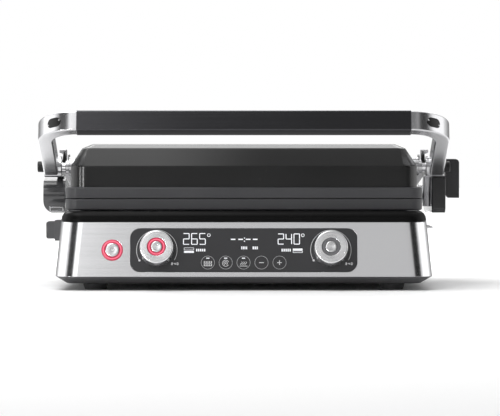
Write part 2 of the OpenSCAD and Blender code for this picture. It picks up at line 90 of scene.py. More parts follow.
# %% Camera
camera = bpy.data.objects.new("camera", bpy.data.cameras.new("camera"))
bpy.context.scene.collection.objects.link(camera)
CAMERA_DISTANCE = 3.2
CAMERA_Z = 0.130
AIM_RIGHT, AIM_Z = 0.0058, 0.0778
camera.location = (MID_X, FRONT_LOW - CAMERA_DISTANCE, CAMERA_Z)
AIM = Vector((MID_X + AIM_RIGHT, FRONT_LOW, AIM_Z))
camera.rotation_mode = "QUATERNION"
camera.rotation_quaternion = (AIM - camera.location).to_track_quat("-Z", "Y")
camera.data.lens = 245
camera.data.sensor_width = 36
camera.data.clip_start, camera.data.clip_end = 0.1, 60
bpy.context.scene.camera = camera
print("camera at", [round(c, 3) for c in camera.location])

# %% [markdown]
# ## Mesh helpers
#
# Most housings of the grill are rounded rectangles that change size from level to level, so one
# helper draws a rounded outline and another puts a skin over a stack of outlines. A small fillet is
# then just two or three more levels along an arc. The helpers give exact corners and few faces,
# which a bevel on a boolean result wouldn't.

# %% Outlines and skins
def arc(cx, cy, r, start, end, steps):
    """Points of an arc about (cx, cy), angles in degrees."""
    angles = [math.radians(start + (end - start) * i / steps) for i in range(steps + 1)]
    return [(cx + r * math.cos(a), cy + r * math.sin(a)) for a in angles]


def rounded(x0, x1, y0, y1, r, steps=16):
    """Counter-clockwise rounded rectangle."""
    return (arc(x1 - r, y0 + r, r, -90, 0, steps) + arc(x1 - r, y1 - r, r, 0, 90, steps)
            + arc(x0 + r, y1 - r, r, 90, 180, steps) + arc(x0 + r, y0 + r, r, 180, 270, steps))


def level(z, half_width, y0, y1, r, steps=16):
    """One ring of points at height z round the body's middle, sizes in millimetres."""
    ring = rounded(-half_width, half_width, y0, y1, r, steps)
    return [Vector((MID_X + x * MM, y * MM, z * MM)) for x, y in ring]


def skin(rings, loop=False):
    """Vertices and faces through rings of equal length: a solid with end caps, or a closed loop."""
    count = len(rings[0])
    verts = [p for ring in rings for p in ring]
    last = len(rings) if loop else len(rings) - 1
    faces = []
    for k in range(last):
        a, b = k * count, (k + 1) % len(rings) * count
        for i in range(count):
            j = (i + 1) % count
            faces.append((a + i, a + j, b + j, b + i))
    if not loop:
        faces.append(tuple(range(count - 1, -1, -1)))
        faces.append(tuple(range((len(rings) - 1) * count, len(rings) * count)))
    return verts, faces


def lathe(profile, steps=96):
    """Vertices and faces of a profile of (radius, height) turned about Z; ends on the axis close."""
    verts, faces, rows = [], [], []
    for r, h in profile:
        if r < 1e-9:
            rows.append([len(verts)] * steps)
            verts.append(Vector((0, 0, h)))
            continue
        rows.append(list(range(len(verts), len(verts) + steps)))
        for i in range(steps):
            a = math.tau * i / steps
            verts.append(Vector((r * math.cos(a), r * math.sin(a), h)))
    for low, high in zip(rows, rows[1:]):
        for i in range(steps):
            j = (i + 1) % steps
            face = [low[i], low[j], high[j], high[i]]
            faces.append(tuple(dict.fromkeys(face)))
    return verts, [f for f in faces if len(f) > 2]


# %% [markdown]
# ## From a mesh to a piece
#
# A piece needs the same care each time: doubles merged, normals outwards, smooth shading broken at
# real edges, and normals weighted by face size so that flat faces stay flat beside their fillets.
# Then it rides on its body, and the parts of the engineering model that it stands for are hidden.

# %% Pieces
SHARP, MERGE, FLAT = 32, 1e-5, 0.6


def linked(name, data):
    """An object for a mesh or a light, linked to the scene."""
    obj = bpy.data.objects.new(name, data)
    bpy.context.scene.collection.objects.link(obj)
    return obj


def settled(obj):
    """Turns an object's modifiers into a plain mesh and removes them."""
    graph = bpy.context.evaluated_depsgraph_get()
    mesh = bpy.data.meshes.new_from_object(obj.evaluated_get(graph), depsgraph=graph)
    obj.modifiers.clear()
    old = obj.data
    obj.data = mesh
    mesh.name = obj.name
    bpy.data.meshes.remove(old)
    return obj


def new_object(name, verts, faces):
    """A linked object whose mesh is merged, closed and turned outwards."""
    mesh = bpy.data.meshes.new(name)
    mesh.from_pydata([tuple(v) for v in verts], [], faces)
    bm = bmesh.new()
    bm.from_mesh(mesh)
    bmesh.ops.remove_doubles(bm, verts=bm.verts, dist=2e-6)
    bmesh.ops.recalc_face_normals(bm, faces=bm.faces)
    bm.to_mesh(mesh)
    bm.free()
    return linked(name, mesh)


def shade(obj, angle=SHARP):
    """Smooth shading with sharp edges above an angle, and normals weighted by face area."""
    obj.data.shade_smooth()
    obj.data.set_sharp_from_angle(angle=math.radians(angle))
    weighted = obj.modifiers.new("normals", "WEIGHTED_NORMAL")
    weighted.keep_sharp = True
    return settled(obj)


def place(obj, finish, body, stands_for=()):
    """Gives a finished mesh its material and its body, and hides the nodes that it stands for."""
    obj.data.materials.clear()
    obj.data.materials.append(finish)
    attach(obj, body)
    if stands_for:
        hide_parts(*stands_for)
    print(f"{obj.name}: {len(obj.data.polygons)} faces on {body}")
    return obj


def cut(obj, *tools):
    """Takes the tools out of an object with exact booleans, and deletes the tools."""
    for tool in tools:
        modifier = obj.modifiers.new("cut", "BOOLEAN")
        modifier.object = tool
        modifier.solver = "EXACT"
        settled(obj)
        bpy.data.objects.remove(tool)
    return obj


def bevelled(obj, width, segments, angle=SHARP):
    """Rounds an object's edges above an angle, width in millimetres."""
    bevel = obj.modifiers.new("edges", "BEVEL")
    bevel.width, bevel.segments, bevel.limit_method = width * MM, segments, "ANGLE"
    bevel.angle_limit = math.radians(angle)
    return settled(obj)


def softened(node, width, segments):
    """A copy of a node with its loose triangles merged and its edges rounded."""
    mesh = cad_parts[node].data.copy()
    bm = bmesh.new()
    bm.from_mesh(mesh)
    bmesh.ops.remove_doubles(bm, verts=bm.verts, dist=MERGE)
    bmesh.ops.dissolve_limit(bm, angle_limit=math.radians(FLAT), verts=bm.verts, edges=bm.edges)
    bm.to_mesh(mesh)
    bm.free()
    mesh.shade_smooth()
    return shade(bevelled(linked(node + "_shape", mesh), width, segments))


def dress(node, width, segments, finish, body):
    """Puts a softened copy of a node in its place."""
    place(softened(node, width, segments), finish, body, [node])


def joined(name, *objects):
    """Joins finished meshes into one object."""
    bm = bmesh.new()
    for obj in objects:
        bm.from_mesh(obj.data)
        bpy.data.objects.remove(obj)
    mesh = bpy.data.meshes.new(name)
    bm.to_mesh(mesh)
    bm.free()
    return linked(name, mesh)

# %% [markdown]
# ## Shader maths as plain expressions
#
# A finish is easiest to read as a formula, so a small class wraps a socket and overloads the
# operators: `0.3 + 0.1 * grain` adds the Math nodes by itself. Every other node comes from one
# method, which takes the node's type, its settings and its sockets' values or links.

# %% Expressions and materials
class Value:
    """A socket of a material, on which Python's operators add Math nodes."""

    def __init__(self, shader, socket):
        self.shader, self.socket = shader, socket

    def math(self, operation, *values):
        return self.shader.node("ShaderNodeMath", {"operation": operation}, dict(enumerate(values)))

    def __add__(self, other):
        return self.math("ADD", self, other)

    def __radd__(self, other):
        return self.math("ADD", other, self)

    def __sub__(self, other):
        return self.math("SUBTRACT", self, other)

    def __rsub__(self, other):
        return self.math("SUBTRACT", other, self)

    def __mul__(self, other):
        return self.math("MULTIPLY", self, other)

    def __rmul__(self, other):
        return self.math("MULTIPLY", other, self)

    def __truediv__(self, other):
        return self.math("DIVIDE", self, other)

    def __pow__(self, other):
        return self.math("POWER", self, other)

    def size(self):
        return self.math("ABSOLUTE", self)

    def step(self, low, high):
        """0 below low, 1 above high, smooth between."""
        return self.shader.node("ShaderNodeMapRange", {"interpolation_type": "SMOOTHSTEP"},
                                {"Value": self, "From Min": low, "From Max": high})


class Shader:
    """A node tree under construction: a material's, or the world's."""

    def __init__(self, tree):
        self.tree = tree

    def node(self, kind, settings=None, inputs=None, out=0):
        """Adds one node: its settings first, then its sockets by name or number."""
        made = self.tree.nodes.new(kind)
        for key, value in (settings or {}).items():
            setattr(made, key, value)
        for key, value in (inputs or {}).items():
            if isinstance(value, Value):
                self.tree.links.new(value.socket, made.inputs[key])
            else:
                made.inputs[key].default_value = value
        return Value(self, made.outputs[out])

    def place(self, scale=(1, 1, 1), centre=(0, 0, 0)):
        """Object coordinates measured from a centre and stretched along each axis."""
        where = self.node("ShaderNodeTexCoord", out="Object")
        moved = self.node("ShaderNodeVectorMath", {"operation": "SUBTRACT"}, {0: where, 1: centre})
        return self.node("ShaderNodeVectorMath", {"operation": "MULTIPLY"}, {0: moved, 1: scale})

    def part(self, vector, axis):
        return self.node("ShaderNodeSeparateXYZ", None, {0: vector}, axis)

    def noise(self, vector, scale, detail=2.0, roughness=0.5):
        return self.node("ShaderNodeTexNoise", None,
                         {"Vector": vector, "Scale": scale, "Detail": detail, "Roughness": roughness})

    def mix(self, factor, a, b):
        """A colour between a and b."""
        a, b = (c if isinstance(c, Value) else (*c, 1) for c in (a, b))
        return self.node("ShaderNodeMix", {"data_type": "RGBA"}, {0: factor, 6: a, 7: b}, 2)

    def bump(self, height, depth):
        """A normal from a height of 0 to 1, depth in millimetres."""
        return self.node("ShaderNodeBump", None,
                         {"Height": height, "Distance": depth * MM, "Strength": 1.0})

    def from_axis(self, centre):
        """How far a point is from an axis that stands square on the front: x, up the slope, radius."""
        from_centre = self.place((1, 1, 1), centre)
        across = self.part(from_centre, 0)
        along = self.part(from_centre, 1) * FRONT_UP.y + self.part(from_centre, 2) * FRONT_UP.z
        return across, along, (across * across + along * along) ** 0.5

    def tilted(self, direction, amount):
        """The surface's normal, leaned along a direction by a varying amount."""
        normal = self.node("ShaderNodeNewGeometry", out="Normal")
        lean = self.node("ShaderNodeVectorMath", {"operation": "SCALE"}, {0: direction, "Scale": amount})
        both = self.node("ShaderNodeVectorMath", {"operation": "ADD"}, {0: normal, 1: lean})
        return self.node("ShaderNodeVectorMath", {"operation": "NORMALIZE"}, {0: both})


def material(name, formula, **constants):
    """A material whose formula gives its varying sockets; constants are set on the shader itself."""
    made = bpy.data.materials.new(name)
    made.use_nodes = True
    principled = made.node_tree.nodes["Principled BSDF"]
    for key, value in constants.items():
        principled.inputs[key.replace("_", " ")].default_value = value
    shader = Shader(made.node_tree)
    for key, value in formula(shader).items():
        if isinstance(value, Value):
            made.node_tree.links.new(value.socket, principled.inputs[key])
        else:
            principled.inputs[key].default_value = value
    print("finish", name, "with", len(made.node_tree.nodes), "nodes")
    return made


# %% [markdown]
# ## Light, floor and surroundings
#
# The grill is nearly all dark gloss and bright metal, so what it shows is mostly what surrounds it.
# The room is a pale dome with a darker band on each side of the camera, which draws the dark line
# down the rounded steel corners. A broad soft card at the front left lights the dials and lets the
# steel fade from left to right, and a bright card above and behind picks out the cover's top edge.
#
# The dome is a formula of direction. `facing` is 1 towards the camera and 0 square to it, `height` is
# 0 at the horizon and 1 overhead, and each patch of the dome is a product of soft steps in the two:
# `flag` is the dark band on each side, `near_camera` a dim patch round the lens and `brow_shade` one
# above it, and `stripes` are two narrow bright slots low on the left, for the cover's corner to mirror.

# %% Surroundings
world = bpy.data.worlds.new("studio")
bpy.context.scene.world = world
world.use_nodes = True
world.node_tree.nodes.clear()
room = Shader(world.node_tree)
NOT_ZERO = 0.0001
way = room.node("ShaderNodeTexCoord", out="Generated")
side, depth, height = (room.part(way, axis) for axis in range(3))
flat_length = (side * side + depth * depth + NOT_ZERO) ** 0.5
facing = (0 - depth) / flat_length
flag = facing.step(0.40, 0.50) * (1 - facing.step(0.84, 0.90)) * (1 - height.step(0.60, 0.85))
near_camera = facing.step(0.86, 0.97) * (1 - height.step(0.12, 0.34))
left = 1 - side.step(-0.7, 0.6)
beside = 1 - facing.step(0.30, 0.44)
low = (1 - height.step(0.10, 0.16)) * side.step(0.02, -0.02)
stripes = low * (facing.step(0.905, 0.92) * (1 - facing.step(0.94, 0.955))
                 + facing.step(0.67, 0.69) * (1 - facing.step(0.72, 0.74)))
behind = 1 - facing.step(-0.93, -0.55)
brow_shade = facing.step(0.86, 0.97) * height.step(0.48, 0.55) * (1 - height.step(0.74, 0.82))
DOME, DOME_LEFT, DOME_BESIDE, STRIPE = 0.66, 0.14, 0.26, 34.0
dimmed = (1 - 0.97 * flag) * (1 - 0.80 * near_camera) * (1 - 0.72 * behind) * (1 - 0.75 * brow_shade)
glow = (DOME + DOME_LEFT * left + DOME_BESIDE * beside) * dimmed + STRIPE * stripes
seen = room.node("ShaderNodeLightPath", out="Is Camera Ray")
strength = glow * (1 - seen) + seen
backdrop = room.node("ShaderNodeBackground", None, {"Color": (1, 1, 1, 1), "Strength": strength})
output = world.node_tree.nodes.new("ShaderNodeOutputWorld")
world.node_tree.links.new(backdrop.socket, output.inputs["Surface"])


MIDDLE = Vector((MID_X, 0, 0.09))


def card(name, centre, size, radiance):
    """A soft rectangular light of a given brightness, turned to the grill and unseen itself."""
    light = bpy.data.lights.new(name, "AREA")
    light.shape = "RECTANGLE"
    light.size, light.size_y = size
    light.energy = radiance * math.pi * size[0] * size[1]
    obj = linked(name, light)
    obj.location = centre
    obj.rotation_mode = "QUATERNION"
    obj.rotation_quaternion = (MIDDLE - Vector(centre)).to_track_quat("-Z", "Y")
    obj.visible_camera = False


card("front_card", (-0.50, -1.30, 0.86), (0.62, 0.95), 1.0)
card("facet_card", (-0.50, -0.62, 1.35), (0.9, 0.7), 3.4)
card("brow_card", (-0.15, 1.25, 1.25), (2.2, 1.0), 3.0)
card("top_card", (-0.45, -0.1, 1.6), (0.9, 1.2), 2.6)
card("left_card", (-1.7, 0.1, 0.5), (1.4, 0.9), 0.75)
card("right_card", (1.7, 0.1, 0.5), (1.4, 0.9), 0.65)
bpy.context.scene.view_settings.view_transform = "Standard"
print("six soft cards and a pale room")

# %% Floor
FLOOR_RADIUS, FLOOR_CORNERS = 9.0, 181


def floor_formula(s):
    cloud = s.noise(s.place(), 3.0)
    far = s.part(s.place(), 1).step(0.10, 1.1)
    return {"Base Color": s.mix(cloud, (0.86, 0.86, 0.86), (0.90, 0.90, 0.90)),
            "Roughness": 0.42 + 0.06 * cloud,
            "Emission Color": s.mix(far, (0, 0, 0), (1, 1, 1)), "Emission Strength": 0.62}


floor = new_object("floor", [Vector((x, y, 0)) for x, y in arc(
    MID_X, 0, FLOOR_RADIUS, 0, 358, FLOOR_CORNERS - 1)], [tuple(range(FLOOR_CORNERS))])
floor.data.materials.append(material("pale_floor", floor_formula, Specular_IOR_Level=0.25))

# %% [markdown]
# ## A strip of card under the handle
#
# The handle's bar hangs over the cover's sloping brow and would leave it black. A narrow pale strip
# just under the bar gives the brow something to mirror. It fades to the right, and isn't seen itself.

# %% Strip under the handle
STRIP_Z, STRIP_FRONT, STRIP_BACK, STRIP_HALF = 0.1455, -0.1365, -0.1050, 0.158


def strip_formula(s):
    fade = 1 - s.part(s.place(), 0).step(MID_X - 0.095, MID_X + 0.030)
    downwards = s.node("ShaderNodeNewGeometry", out="Backfacing")
    return {"Base Color": (0.0, 0.0, 0.0, 1), "Emission Strength": 2.1,
            "Emission Color": s.mix((0.20 + 0.70 * fade) * downwards + 0.10, (0, 0, 0), (1, 1, 1))}


strip = new_object("handle_card", [Vector((MID_X + x, y, STRIP_Z)) for x, y in (
    (-STRIP_HALF, STRIP_FRONT), (STRIP_HALF, STRIP_FRONT), (STRIP_HALF, STRIP_BACK),
    (-STRIP_HALF, STRIP_BACK))], [(0, 1, 2, 3)])
strip.data.materials.append(material("strip_card", strip_formula))
if strip.data.polygons[0].normal.z < 0:
    strip.data.flip_normals()
strip.visible_camera = False
strip.visible_shadow = False

# %% [markdown]
# ## Metals
#
# Brushed steel is a mirror broken into fine parallel grooves. Grooves in the mesh would be far too
# small, and a plain rough mirror has no direction. So the normal itself is leaned across the grooves
# by a noise that is stretched along them: the reflection then smears the way it does on real sheet.

# %% Brushed and polished metals
UP = (0, 0, 1)


def brushed(colour, shadow, stretch, rough):
    """Formula of metal brushed along the axes where stretch is small."""
    def formula(s):
        grooves = s.noise(s.place(stretch), 1.0, 3.0, 0.6)
        wide = s.noise(s.place((6, 6, 6)), 1.0, 2.0)
        return {
            "Base Color": s.mix(grooves * 0.7 + wide * 0.3, shadow, colour),
            "Roughness": rough + 0.12 * (grooves - 0.5) + 0.05 * (wide - 0.5),
            "Normal": s.tilted(UP, (grooves - 0.5) * 0.16),
        }
    return formula


def satin(colour, shadow, rough, grain, depth, patch=18.0):
    """Formula of blasted, cast or drawn metal: fine grain and soft patches."""
    def formula(s):
        fine = s.noise(s.place(), grain, 2.0)
        soft = s.noise(s.place(), patch, 3.0)
        return {
            "Base Color": s.mix(soft, shadow, colour),
            "Roughness": rough + 0.10 * (soft - 0.5) + 0.06 * (fine - 0.5),
            "Normal": s.bump(fine, depth),
        }
    return formula


band_steel = material("band_steel", brushed(
    (0.75, 0.75, 0.76), (0.64, 0.64, 0.655), (9, 9, 2600), 0.17), Metallic=1.0)
arm_satin = material("arm_satin", satin(
    (0.66, 0.66, 0.67), (0.56, 0.56, 0.575), 0.21, 1400.0, 0.0015), Metallic=1.0)
bright_metal = material("bright_metal", satin(
    (0.82, 0.82, 0.83), (0.72, 0.72, 0.74), 0.10, 700.0, 0.001), Metallic=1.0)
zinc = material("zinc", satin((0.52, 0.53, 0.55), (0.38, 0.39, 0.41), 0.34, 500.0, 0.006), Metallic=1.0)
grip_metal = material("grip_metal", brushed(
    (0.075, 0.075, 0.08), (0.055, 0.055, 0.059), (7, 1900, 1900), 0.24), Metallic=1.0)
sheet_steel = material("sheet_steel", satin(
    (0.60, 0.60, 0.61), (0.50, 0.50, 0.52), 0.38, 260.0, 0.01), Metallic=1.0)
lug_metal = material("lug_metal", satin(
    (0.66, 0.66, 0.67), (0.50, 0.50, 0.51), 0.22, 900.0, 0.002), Metallic=1.0)

# %% [markdown]
# ## Blacks
#
# Nothing on the grill is one black. The cover is glossy enamel with a trace of orange peel, the plates
# carry a satin non-stick coat with a faint speckle, the rim and the hinge covers are moulded gloss
# plastic, the pan below is textured, and the feet are rubber. Each differs in its grain and its sheen.
# The left hinge cover's paler black stands in for the light that falls on the left side: painted light.

# %% Enamel, coating, plastic and rubber
def moulded(dark, light, rough, grain, depth):
    """Formula of moulded plastic or enamel: a fine texture, and handling marks in the sheen."""
    def formula(s):
        texture = s.noise(s.place(), grain, 2.0)
        marks = s.noise(s.place((1, 1, 1)), 14.0, 4.0, 0.62)
        return {
            "Base Color": s.mix(marks * 0.6 + texture * 0.4, dark, light),
            "Roughness": rough + 0.14 * (marks - 0.5) + 0.05 * (texture - 0.5),
            "Normal": s.bump(texture, depth),
        }
    return formula


def coated(s):
    """The plates' coat: a dark satin film with sparse paler flecks."""
    fleck = s.node("ShaderNodeTexVoronoi", None, {"Vector": s.place(), "Scale": 1500.0}, "Distance")
    spark = 1 - fleck.step(0.10, 0.22)
    cloud = s.noise(s.place(), 22.0, 3.0)
    return {
        "Base Color": s.mix(spark * 0.35 + cloud * 0.12, (0.036, 0.036, 0.039), (0.12, 0.12, 0.125)),
        "Roughness": 0.40 + 0.10 * (cloud - 0.5) + 0.08 * spark,
        "Normal": s.bump(s.noise(s.place(), 620.0, 2.0), 0.010),
    }


enamel = material("enamel", moulded(
    (0.005, 0.005, 0.005), (0.008, 0.008, 0.008), 0.24, 160.0, 0.003),
    Specular_IOR_Level=0.35, Coat_Weight=0.2, Coat_Roughness=0.05)
non_stick = material("non_stick", coated, Specular_IOR_Level=0.35)
rim_plastic = material("rim_plastic", moulded(
    (0.003, 0.003, 0.003), (0.006, 0.006, 0.006), 0.26, 900.0, 0.004), Specular_IOR_Level=0.06)
gloss_black = material("gloss_black", moulded(
    (0.012, 0.012, 0.013), (0.020, 0.020, 0.022), 0.22, 700.0, 0.003),
    Coat_Weight=0.4, Coat_Roughness=0.08)
# A paler copy of the gloss black, for the left hinge cover only: painted light for the lit left side.
hinge_gloss = material("hinge_gloss", moulded(
    (0.035, 0.035, 0.037), (0.052, 0.052, 0.055), 0.20, 700.0, 0.003),
    Coat_Weight=0.6, Coat_Roughness=0.06)
pan_plastic = material("pan_plastic", moulded(
    (0.055, 0.055, 0.058), (0.074, 0.074, 0.078), 0.46, 1500.0, 0.02))
cap_plastic = material("cap_plastic", moulded(
    (0.003, 0.003, 0.003), (0.007, 0.007, 0.007), 0.34, 1200.0, 0.006), Specular_IOR_Level=0.32)
rubber = material("rubber", moulded(
    (0.016, 0.016, 0.017), (0.030, 0.030, 0.032), 0.72, 2200.0, 0.03))

# %% [markdown]
# ## Panel, lamps and ink
#
# The panel is smoke-grey acrylic with a hard coat, so its base stays dark and its coat does the
# shining. A lit collar is pale along the middle of its face and deep red at its edges, which its
# distance from the axis gives. The lit films of the display glow evenly.

# %% Acrylic, lamps, ink and the hidden parts
def acrylic(s):
    marks = s.noise(s.place(), 30.0, 4.0, 0.6)
    haze = s.noise(s.place(), 5.0, 1.0)
    return {"Base Color": s.mix(haze, (0.020, 0.020, 0.022), (0.032, 0.032, 0.034)),
            "Roughness": 0.30 + 0.10 * (marks - 0.5)}


def ring_lamp(centre, inner, outer):
    """Formula of a lit collar: pale along the middle of its face, deep red at both edges."""
    def formula(s):
        radius = s.from_axis(centre)[2]
        middle = ((radius - (inner + outer) / 2 * MM) / ((outer - inner) / 2 * MM)).size()
        edge = middle.step(0.05, 0.50)
        colour = s.mix(edge, (0.80, 0.20, 0.27), (0.56, 0.018, 0.07))
        return {"Base Color": colour, "Emission Color": colour, "Emission Strength": 0.20,
                "Roughness": 0.30 + 0.08 * s.noise(s.place(), 2400.0, 1.0)}
    return formula


def lamp(colour, strength):
    """Formula of a frosted lens lit from behind."""
    def formula(s):
        cloud = s.noise(s.place(), 180.0, 2.0)
        grain = s.noise(s.place(), 2400.0, 1.0)
        return {"Base Color": s.mix(cloud, tuple(c * 0.7 for c in colour), colour),
                "Emission Color": s.mix(cloud, tuple(c * 0.75 for c in colour), colour),
                "Roughness": 0.32 + 0.08 * grain, "Emission Strength": strength}
    return formula


def ink(colour):
    """Formula of a printed film."""
    def formula(s):
        dots = s.noise(s.place(), 5200.0, 1.0)
        return {"Base Color": s.mix(dots, tuple(c * 0.85 for c in colour), colour),
                "Roughness": 0.5 + 0.1 * dots}
    return formula


panel_gloss = material("panel_gloss", acrylic,
                       Coat_Weight=0.22, Coat_Roughness=0.10, Specular_IOR_Level=0.3)
unlit_lens = material("unlit_lens", moulded(
    (0.10, 0.10, 0.105), (0.14, 0.14, 0.145), 0.34, 1800.0, 0.004))
display_white = material("display_white", lamp((0.80, 0.81, 0.84), 0.45))
print_ink = material("print_ink", ink((0.62, 0.62, 0.63)))
dim_ink = material("dim_ink", ink((0.42, 0.42, 0.43)))
board_green = material("board_green", moulded(
    (0.02, 0.09, 0.04), (0.05, 0.16, 0.08), 0.35, 600.0, 0.01))
switch_grey = material("switch_grey", moulded(
    (0.12, 0.12, 0.13), (0.19, 0.19, 0.20), 0.45, 1400.0, 0.01))
heater_tint = material("heater_tint", satin(
    (0.34, 0.27, 0.22), (0.20, 0.18, 0.20), 0.42, 700.0, 0.008, 40.0), Metallic=1.0)

# %% [markdown]
# ## Repeats with Geometry Nodes
#
# Ribs, slots, feet and screws are one shape many times, and a spring is a rule. Copies in a loop would
# work, but a node tree keeps the count, the pitch and the shape as named inputs. Three small trees do
# it all: a row of copies, copies on chosen points, and a round wire along a coil. Each ends with real
# geometry and a material, and its result becomes a plain mesh before anything rides on a body.

# %% Node trees for repeats
class Tree:
    """A Geometry Nodes tree with named inputs and one geometry output."""

    def __init__(self, name, **inputs):
        self.group = bpy.data.node_groups.new(name, "GeometryNodeTree")
        self.group.interface.new_socket("Geometry", in_out="OUTPUT", socket_type="NodeSocketGeometry")
        for label, kind in inputs.items():
            self.group.interface.new_socket(label, in_out="INPUT", socket_type="NodeSocket" + kind)
        self.entry = self.group.nodes.new("NodeGroupInput")

    def node(self, kind, inputs=None, out=0, **settings):
        made = self.group.nodes.new("GeometryNode" + kind)
        for key, value in settings.items():
            setattr(made, key, value)
        for key, value in (inputs or {}).items():
            if isinstance(value, bpy.types.NodeSocket):
                self.group.links.new(value, made.inputs[key])
            else:
                made.inputs[key].default_value = value
        return made.outputs[out]

    def given(self, label):
        return self.entry.outputs[label]

    def end(self, geometry):
        """Realizes instances, sets the material and closes the tree."""
        real = self.node("RealizeInstances", {"Geometry": geometry})
        painted = self.node("SetMaterial", {"Geometry": real, "Material": self.given("Material")})
        leave = self.group.nodes.new("NodeGroupOutput")
        self.group.links.new(painted, leave.inputs["Geometry"])
        return self


row_tree = Tree("row_of_copies", Shape="Object", Count="Int", Start="Vector", Step="Vector",
                Material="Material")
line = row_tree.node("MeshLine", {"Count": row_tree.given("Count"), "Offset": row_tree.given("Step"),
                                  "Start Location": row_tree.given("Start")}, mode="OFFSET")
shape = row_tree.node("ObjectInfo", {"Object": row_tree.given("Shape"), "As Instance": True}, "Geometry")
row_tree.end(row_tree.node("InstanceOnPoints", {"Points": line, "Instance": shape}))

spots_tree = Tree("copies_on_spots", Shape="Object", Spots="Object", Material="Material")
spots = spots_tree.node("ObjectInfo", {"Object": spots_tree.given("Spots")}, "Geometry")
shape = spots_tree.node("ObjectInfo", {"Object": spots_tree.given("Shape"), "As Instance": True},
                        "Geometry")
spots_tree.end(spots_tree.node("InstanceOnPoints", {"Points": spots, "Instance": shape}))

coil_tree = Tree("coiled_wire", Turns="Float", Radius="Float", Length="Float", Wire="Float",
                 Material="Material")
helix = coil_tree.node("CurveSpiral", {"Resolution": 40, "Rotations": coil_tree.given("Turns"),
                                       "Start Radius": coil_tree.given("Radius"),
                                       "End Radius": coil_tree.given("Radius"),
                                       "Height": coil_tree.given("Length")})
wire = coil_tree.node("CurvePrimitiveCircle", {"Resolution": 12, "Radius": coil_tree.given("Wire")})
coil_tree.end(coil_tree.node("CurveToMesh", {"Curve": helix, "Profile Curve": wire, "Fill Caps": True}))


def grown(name, tree, **values):
    """An object made by a tree: inputs set by identifier, result settled to a plain mesh."""
    obj = linked(name, bpy.data.meshes.new(name))
    modifier = obj.modifiers.new("grow", "NODES")
    modifier.node_group = tree.group
    for item in tree.group.interface.items_tree:
        if item.in_out == "INPUT":
            modifier[item.identifier] = values[item.name]
    settled(obj)
    for helper in values.values():
        if isinstance(helper, bpy.types.Object):
            bpy.data.objects.remove(helper)
    return obj


def block(name, x0, x1, y0, y1, z0, z1):
    """A box between two corners, in millimetres about the body's middle."""
    points = [Vector((MID_X + x * MM, y * MM, z * MM)) for z in (z0, z1)
              for x, y in ((x0, y0), (x1, y0), (x1, y1), (x0, y1))]
    faces = [(3, 2, 1, 0), (4, 5, 6, 7), (0, 1, 5, 4), (1, 2, 6, 5), (2, 3, 7, 6), (3, 0, 4, 7)]
    return new_object(name, points, faces)


print("three trees:", [t.group.name for t in (row_tree, spots_tree, coil_tree)])

# %% [markdown]
# ## Steel band
#
# The base is wrapped in one brushed sheet that leans in towards its top. It is a closed loop of four
# outlines, two outside and two inside, so it has real thickness at every opening. The panel, the power
# button, the drip tray and the release button go through it, and a fine bevel round each cut edge
# catches the light as a bright line.

# %% Steel band
BAND_LOW, BAND_TOP = band_low.z / MM, band_high.z / MM
BASE_HALF = (band_high.x - band_low.x) / 2 / MM
LEAN_IN, CORNER, SHEET = 5.0, 22.0, 1.0
REAR_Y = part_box("base_tray")[1].y / MM
BAND_END = band_high.y / MM
PLAY = 0.3


def base_ring(z, inset=0.0):
    """Outline of the base at height z, pulled in by an inset."""
    up = (z - BAND_LOW) / (BAND_TOP - BAND_LOW)
    half = BASE_HALF - LEAN_IN * up - inset
    front = FRONT_LOW / MM + FRONT_SETBACK * up + inset
    return level(z, half, front, REAR_Y - LEAN_IN * up - inset, CORNER - inset, 20)


def front_prism(name, outline, d0, d1):
    """A prism through the leaning front, from depth d0 to d1."""
    rings = [[on_front(x, u, d) for x, u in outline] for d in (d0, d1)]
    return new_object(name, *skin(rings))


PANEL_HALF_W, PANEL_HALF_H, PANEL_R = 107.0, 21.0, 9.4
POWER_X, RING_R = -124.0, 9.9
DIAL_X = 82.0

band = new_object("steel_band_wrap", *skin([
    base_ring(BAND_LOW), base_ring(BAND_TOP), base_ring(BAND_TOP, SHEET), base_ring(BAND_LOW, SHEET)],
    loop=True))
window = rounded(-PANEL_HALF_W, PANEL_HALF_W, -PANEL_HALF_H, PANEL_HALF_H, PANEL_R)
door_low, door_high = (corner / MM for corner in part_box("drip_tray_front"))
cut(band,
    block("rear", -200, 200, BAND_END, 220, 0, 100),
    front_prism("window", window, -6, 6),
    front_prism("power_hole", arc(POWER_X, 0, RING_R + 0.1, 0, 355, 71), -6, 6),
    block("door", 120, 200, door_low.y - PLAY, door_high.y + PLAY, 17, door_high.z + PLAY),
    block("notch", -200, -150, -62, -22, 44, 66))
place(shade(bevelled(band, 0.45, 2, 40), 30), band_steel, "base", ["steel_band"])

# %% [markdown]
# ## Rim, pan, feet and back
#
# The rim is one moulding with a rolled shoulder, so its section is a list of levels. The pan below has
# a chamfer that faces down, and its cooling slots come from the engineering model: a merged copy with
# softened edges keeps them exact. The feet are lathed once and copied to four spots.

# %% Rim
SLOT_X, SLOT_HALF = 156, 6.4
rim_sections = [(64.5, 173.0, -141.0, 153.0, 20.0), (66.0, 173.2, -141.2, 153.2, 20.0),
                (69.5, 172.6, -140.6, 152.6, 20.0), (72.2, 171.0, -139.0, 151.0, 19.0),
                (74.0, 168.8, -136.6, 148.8, 17.0), (74.6, 167.4, -135.2, 147.4, 15.6),
                (74.6, 163.0, -111.0, 111.0, 11.0), (74.0, 162.0, -110.0, 110.0, 10.0),
                (64.5, 162.0, -110.0, 110.0, 10.0)]
rim = new_object("top_rim_shell", *skin([level(*section) for section in rim_sections], loop=True))
for slot_x in (-SLOT_X, SLOT_X):
    cut(rim, block("slot", slot_x - SLOT_HALF, slot_x + SLOT_HALF, 133.5, 180, 60, 80))
place(shade(rim, 40), rim_plastic, "base", ["top_rim"])

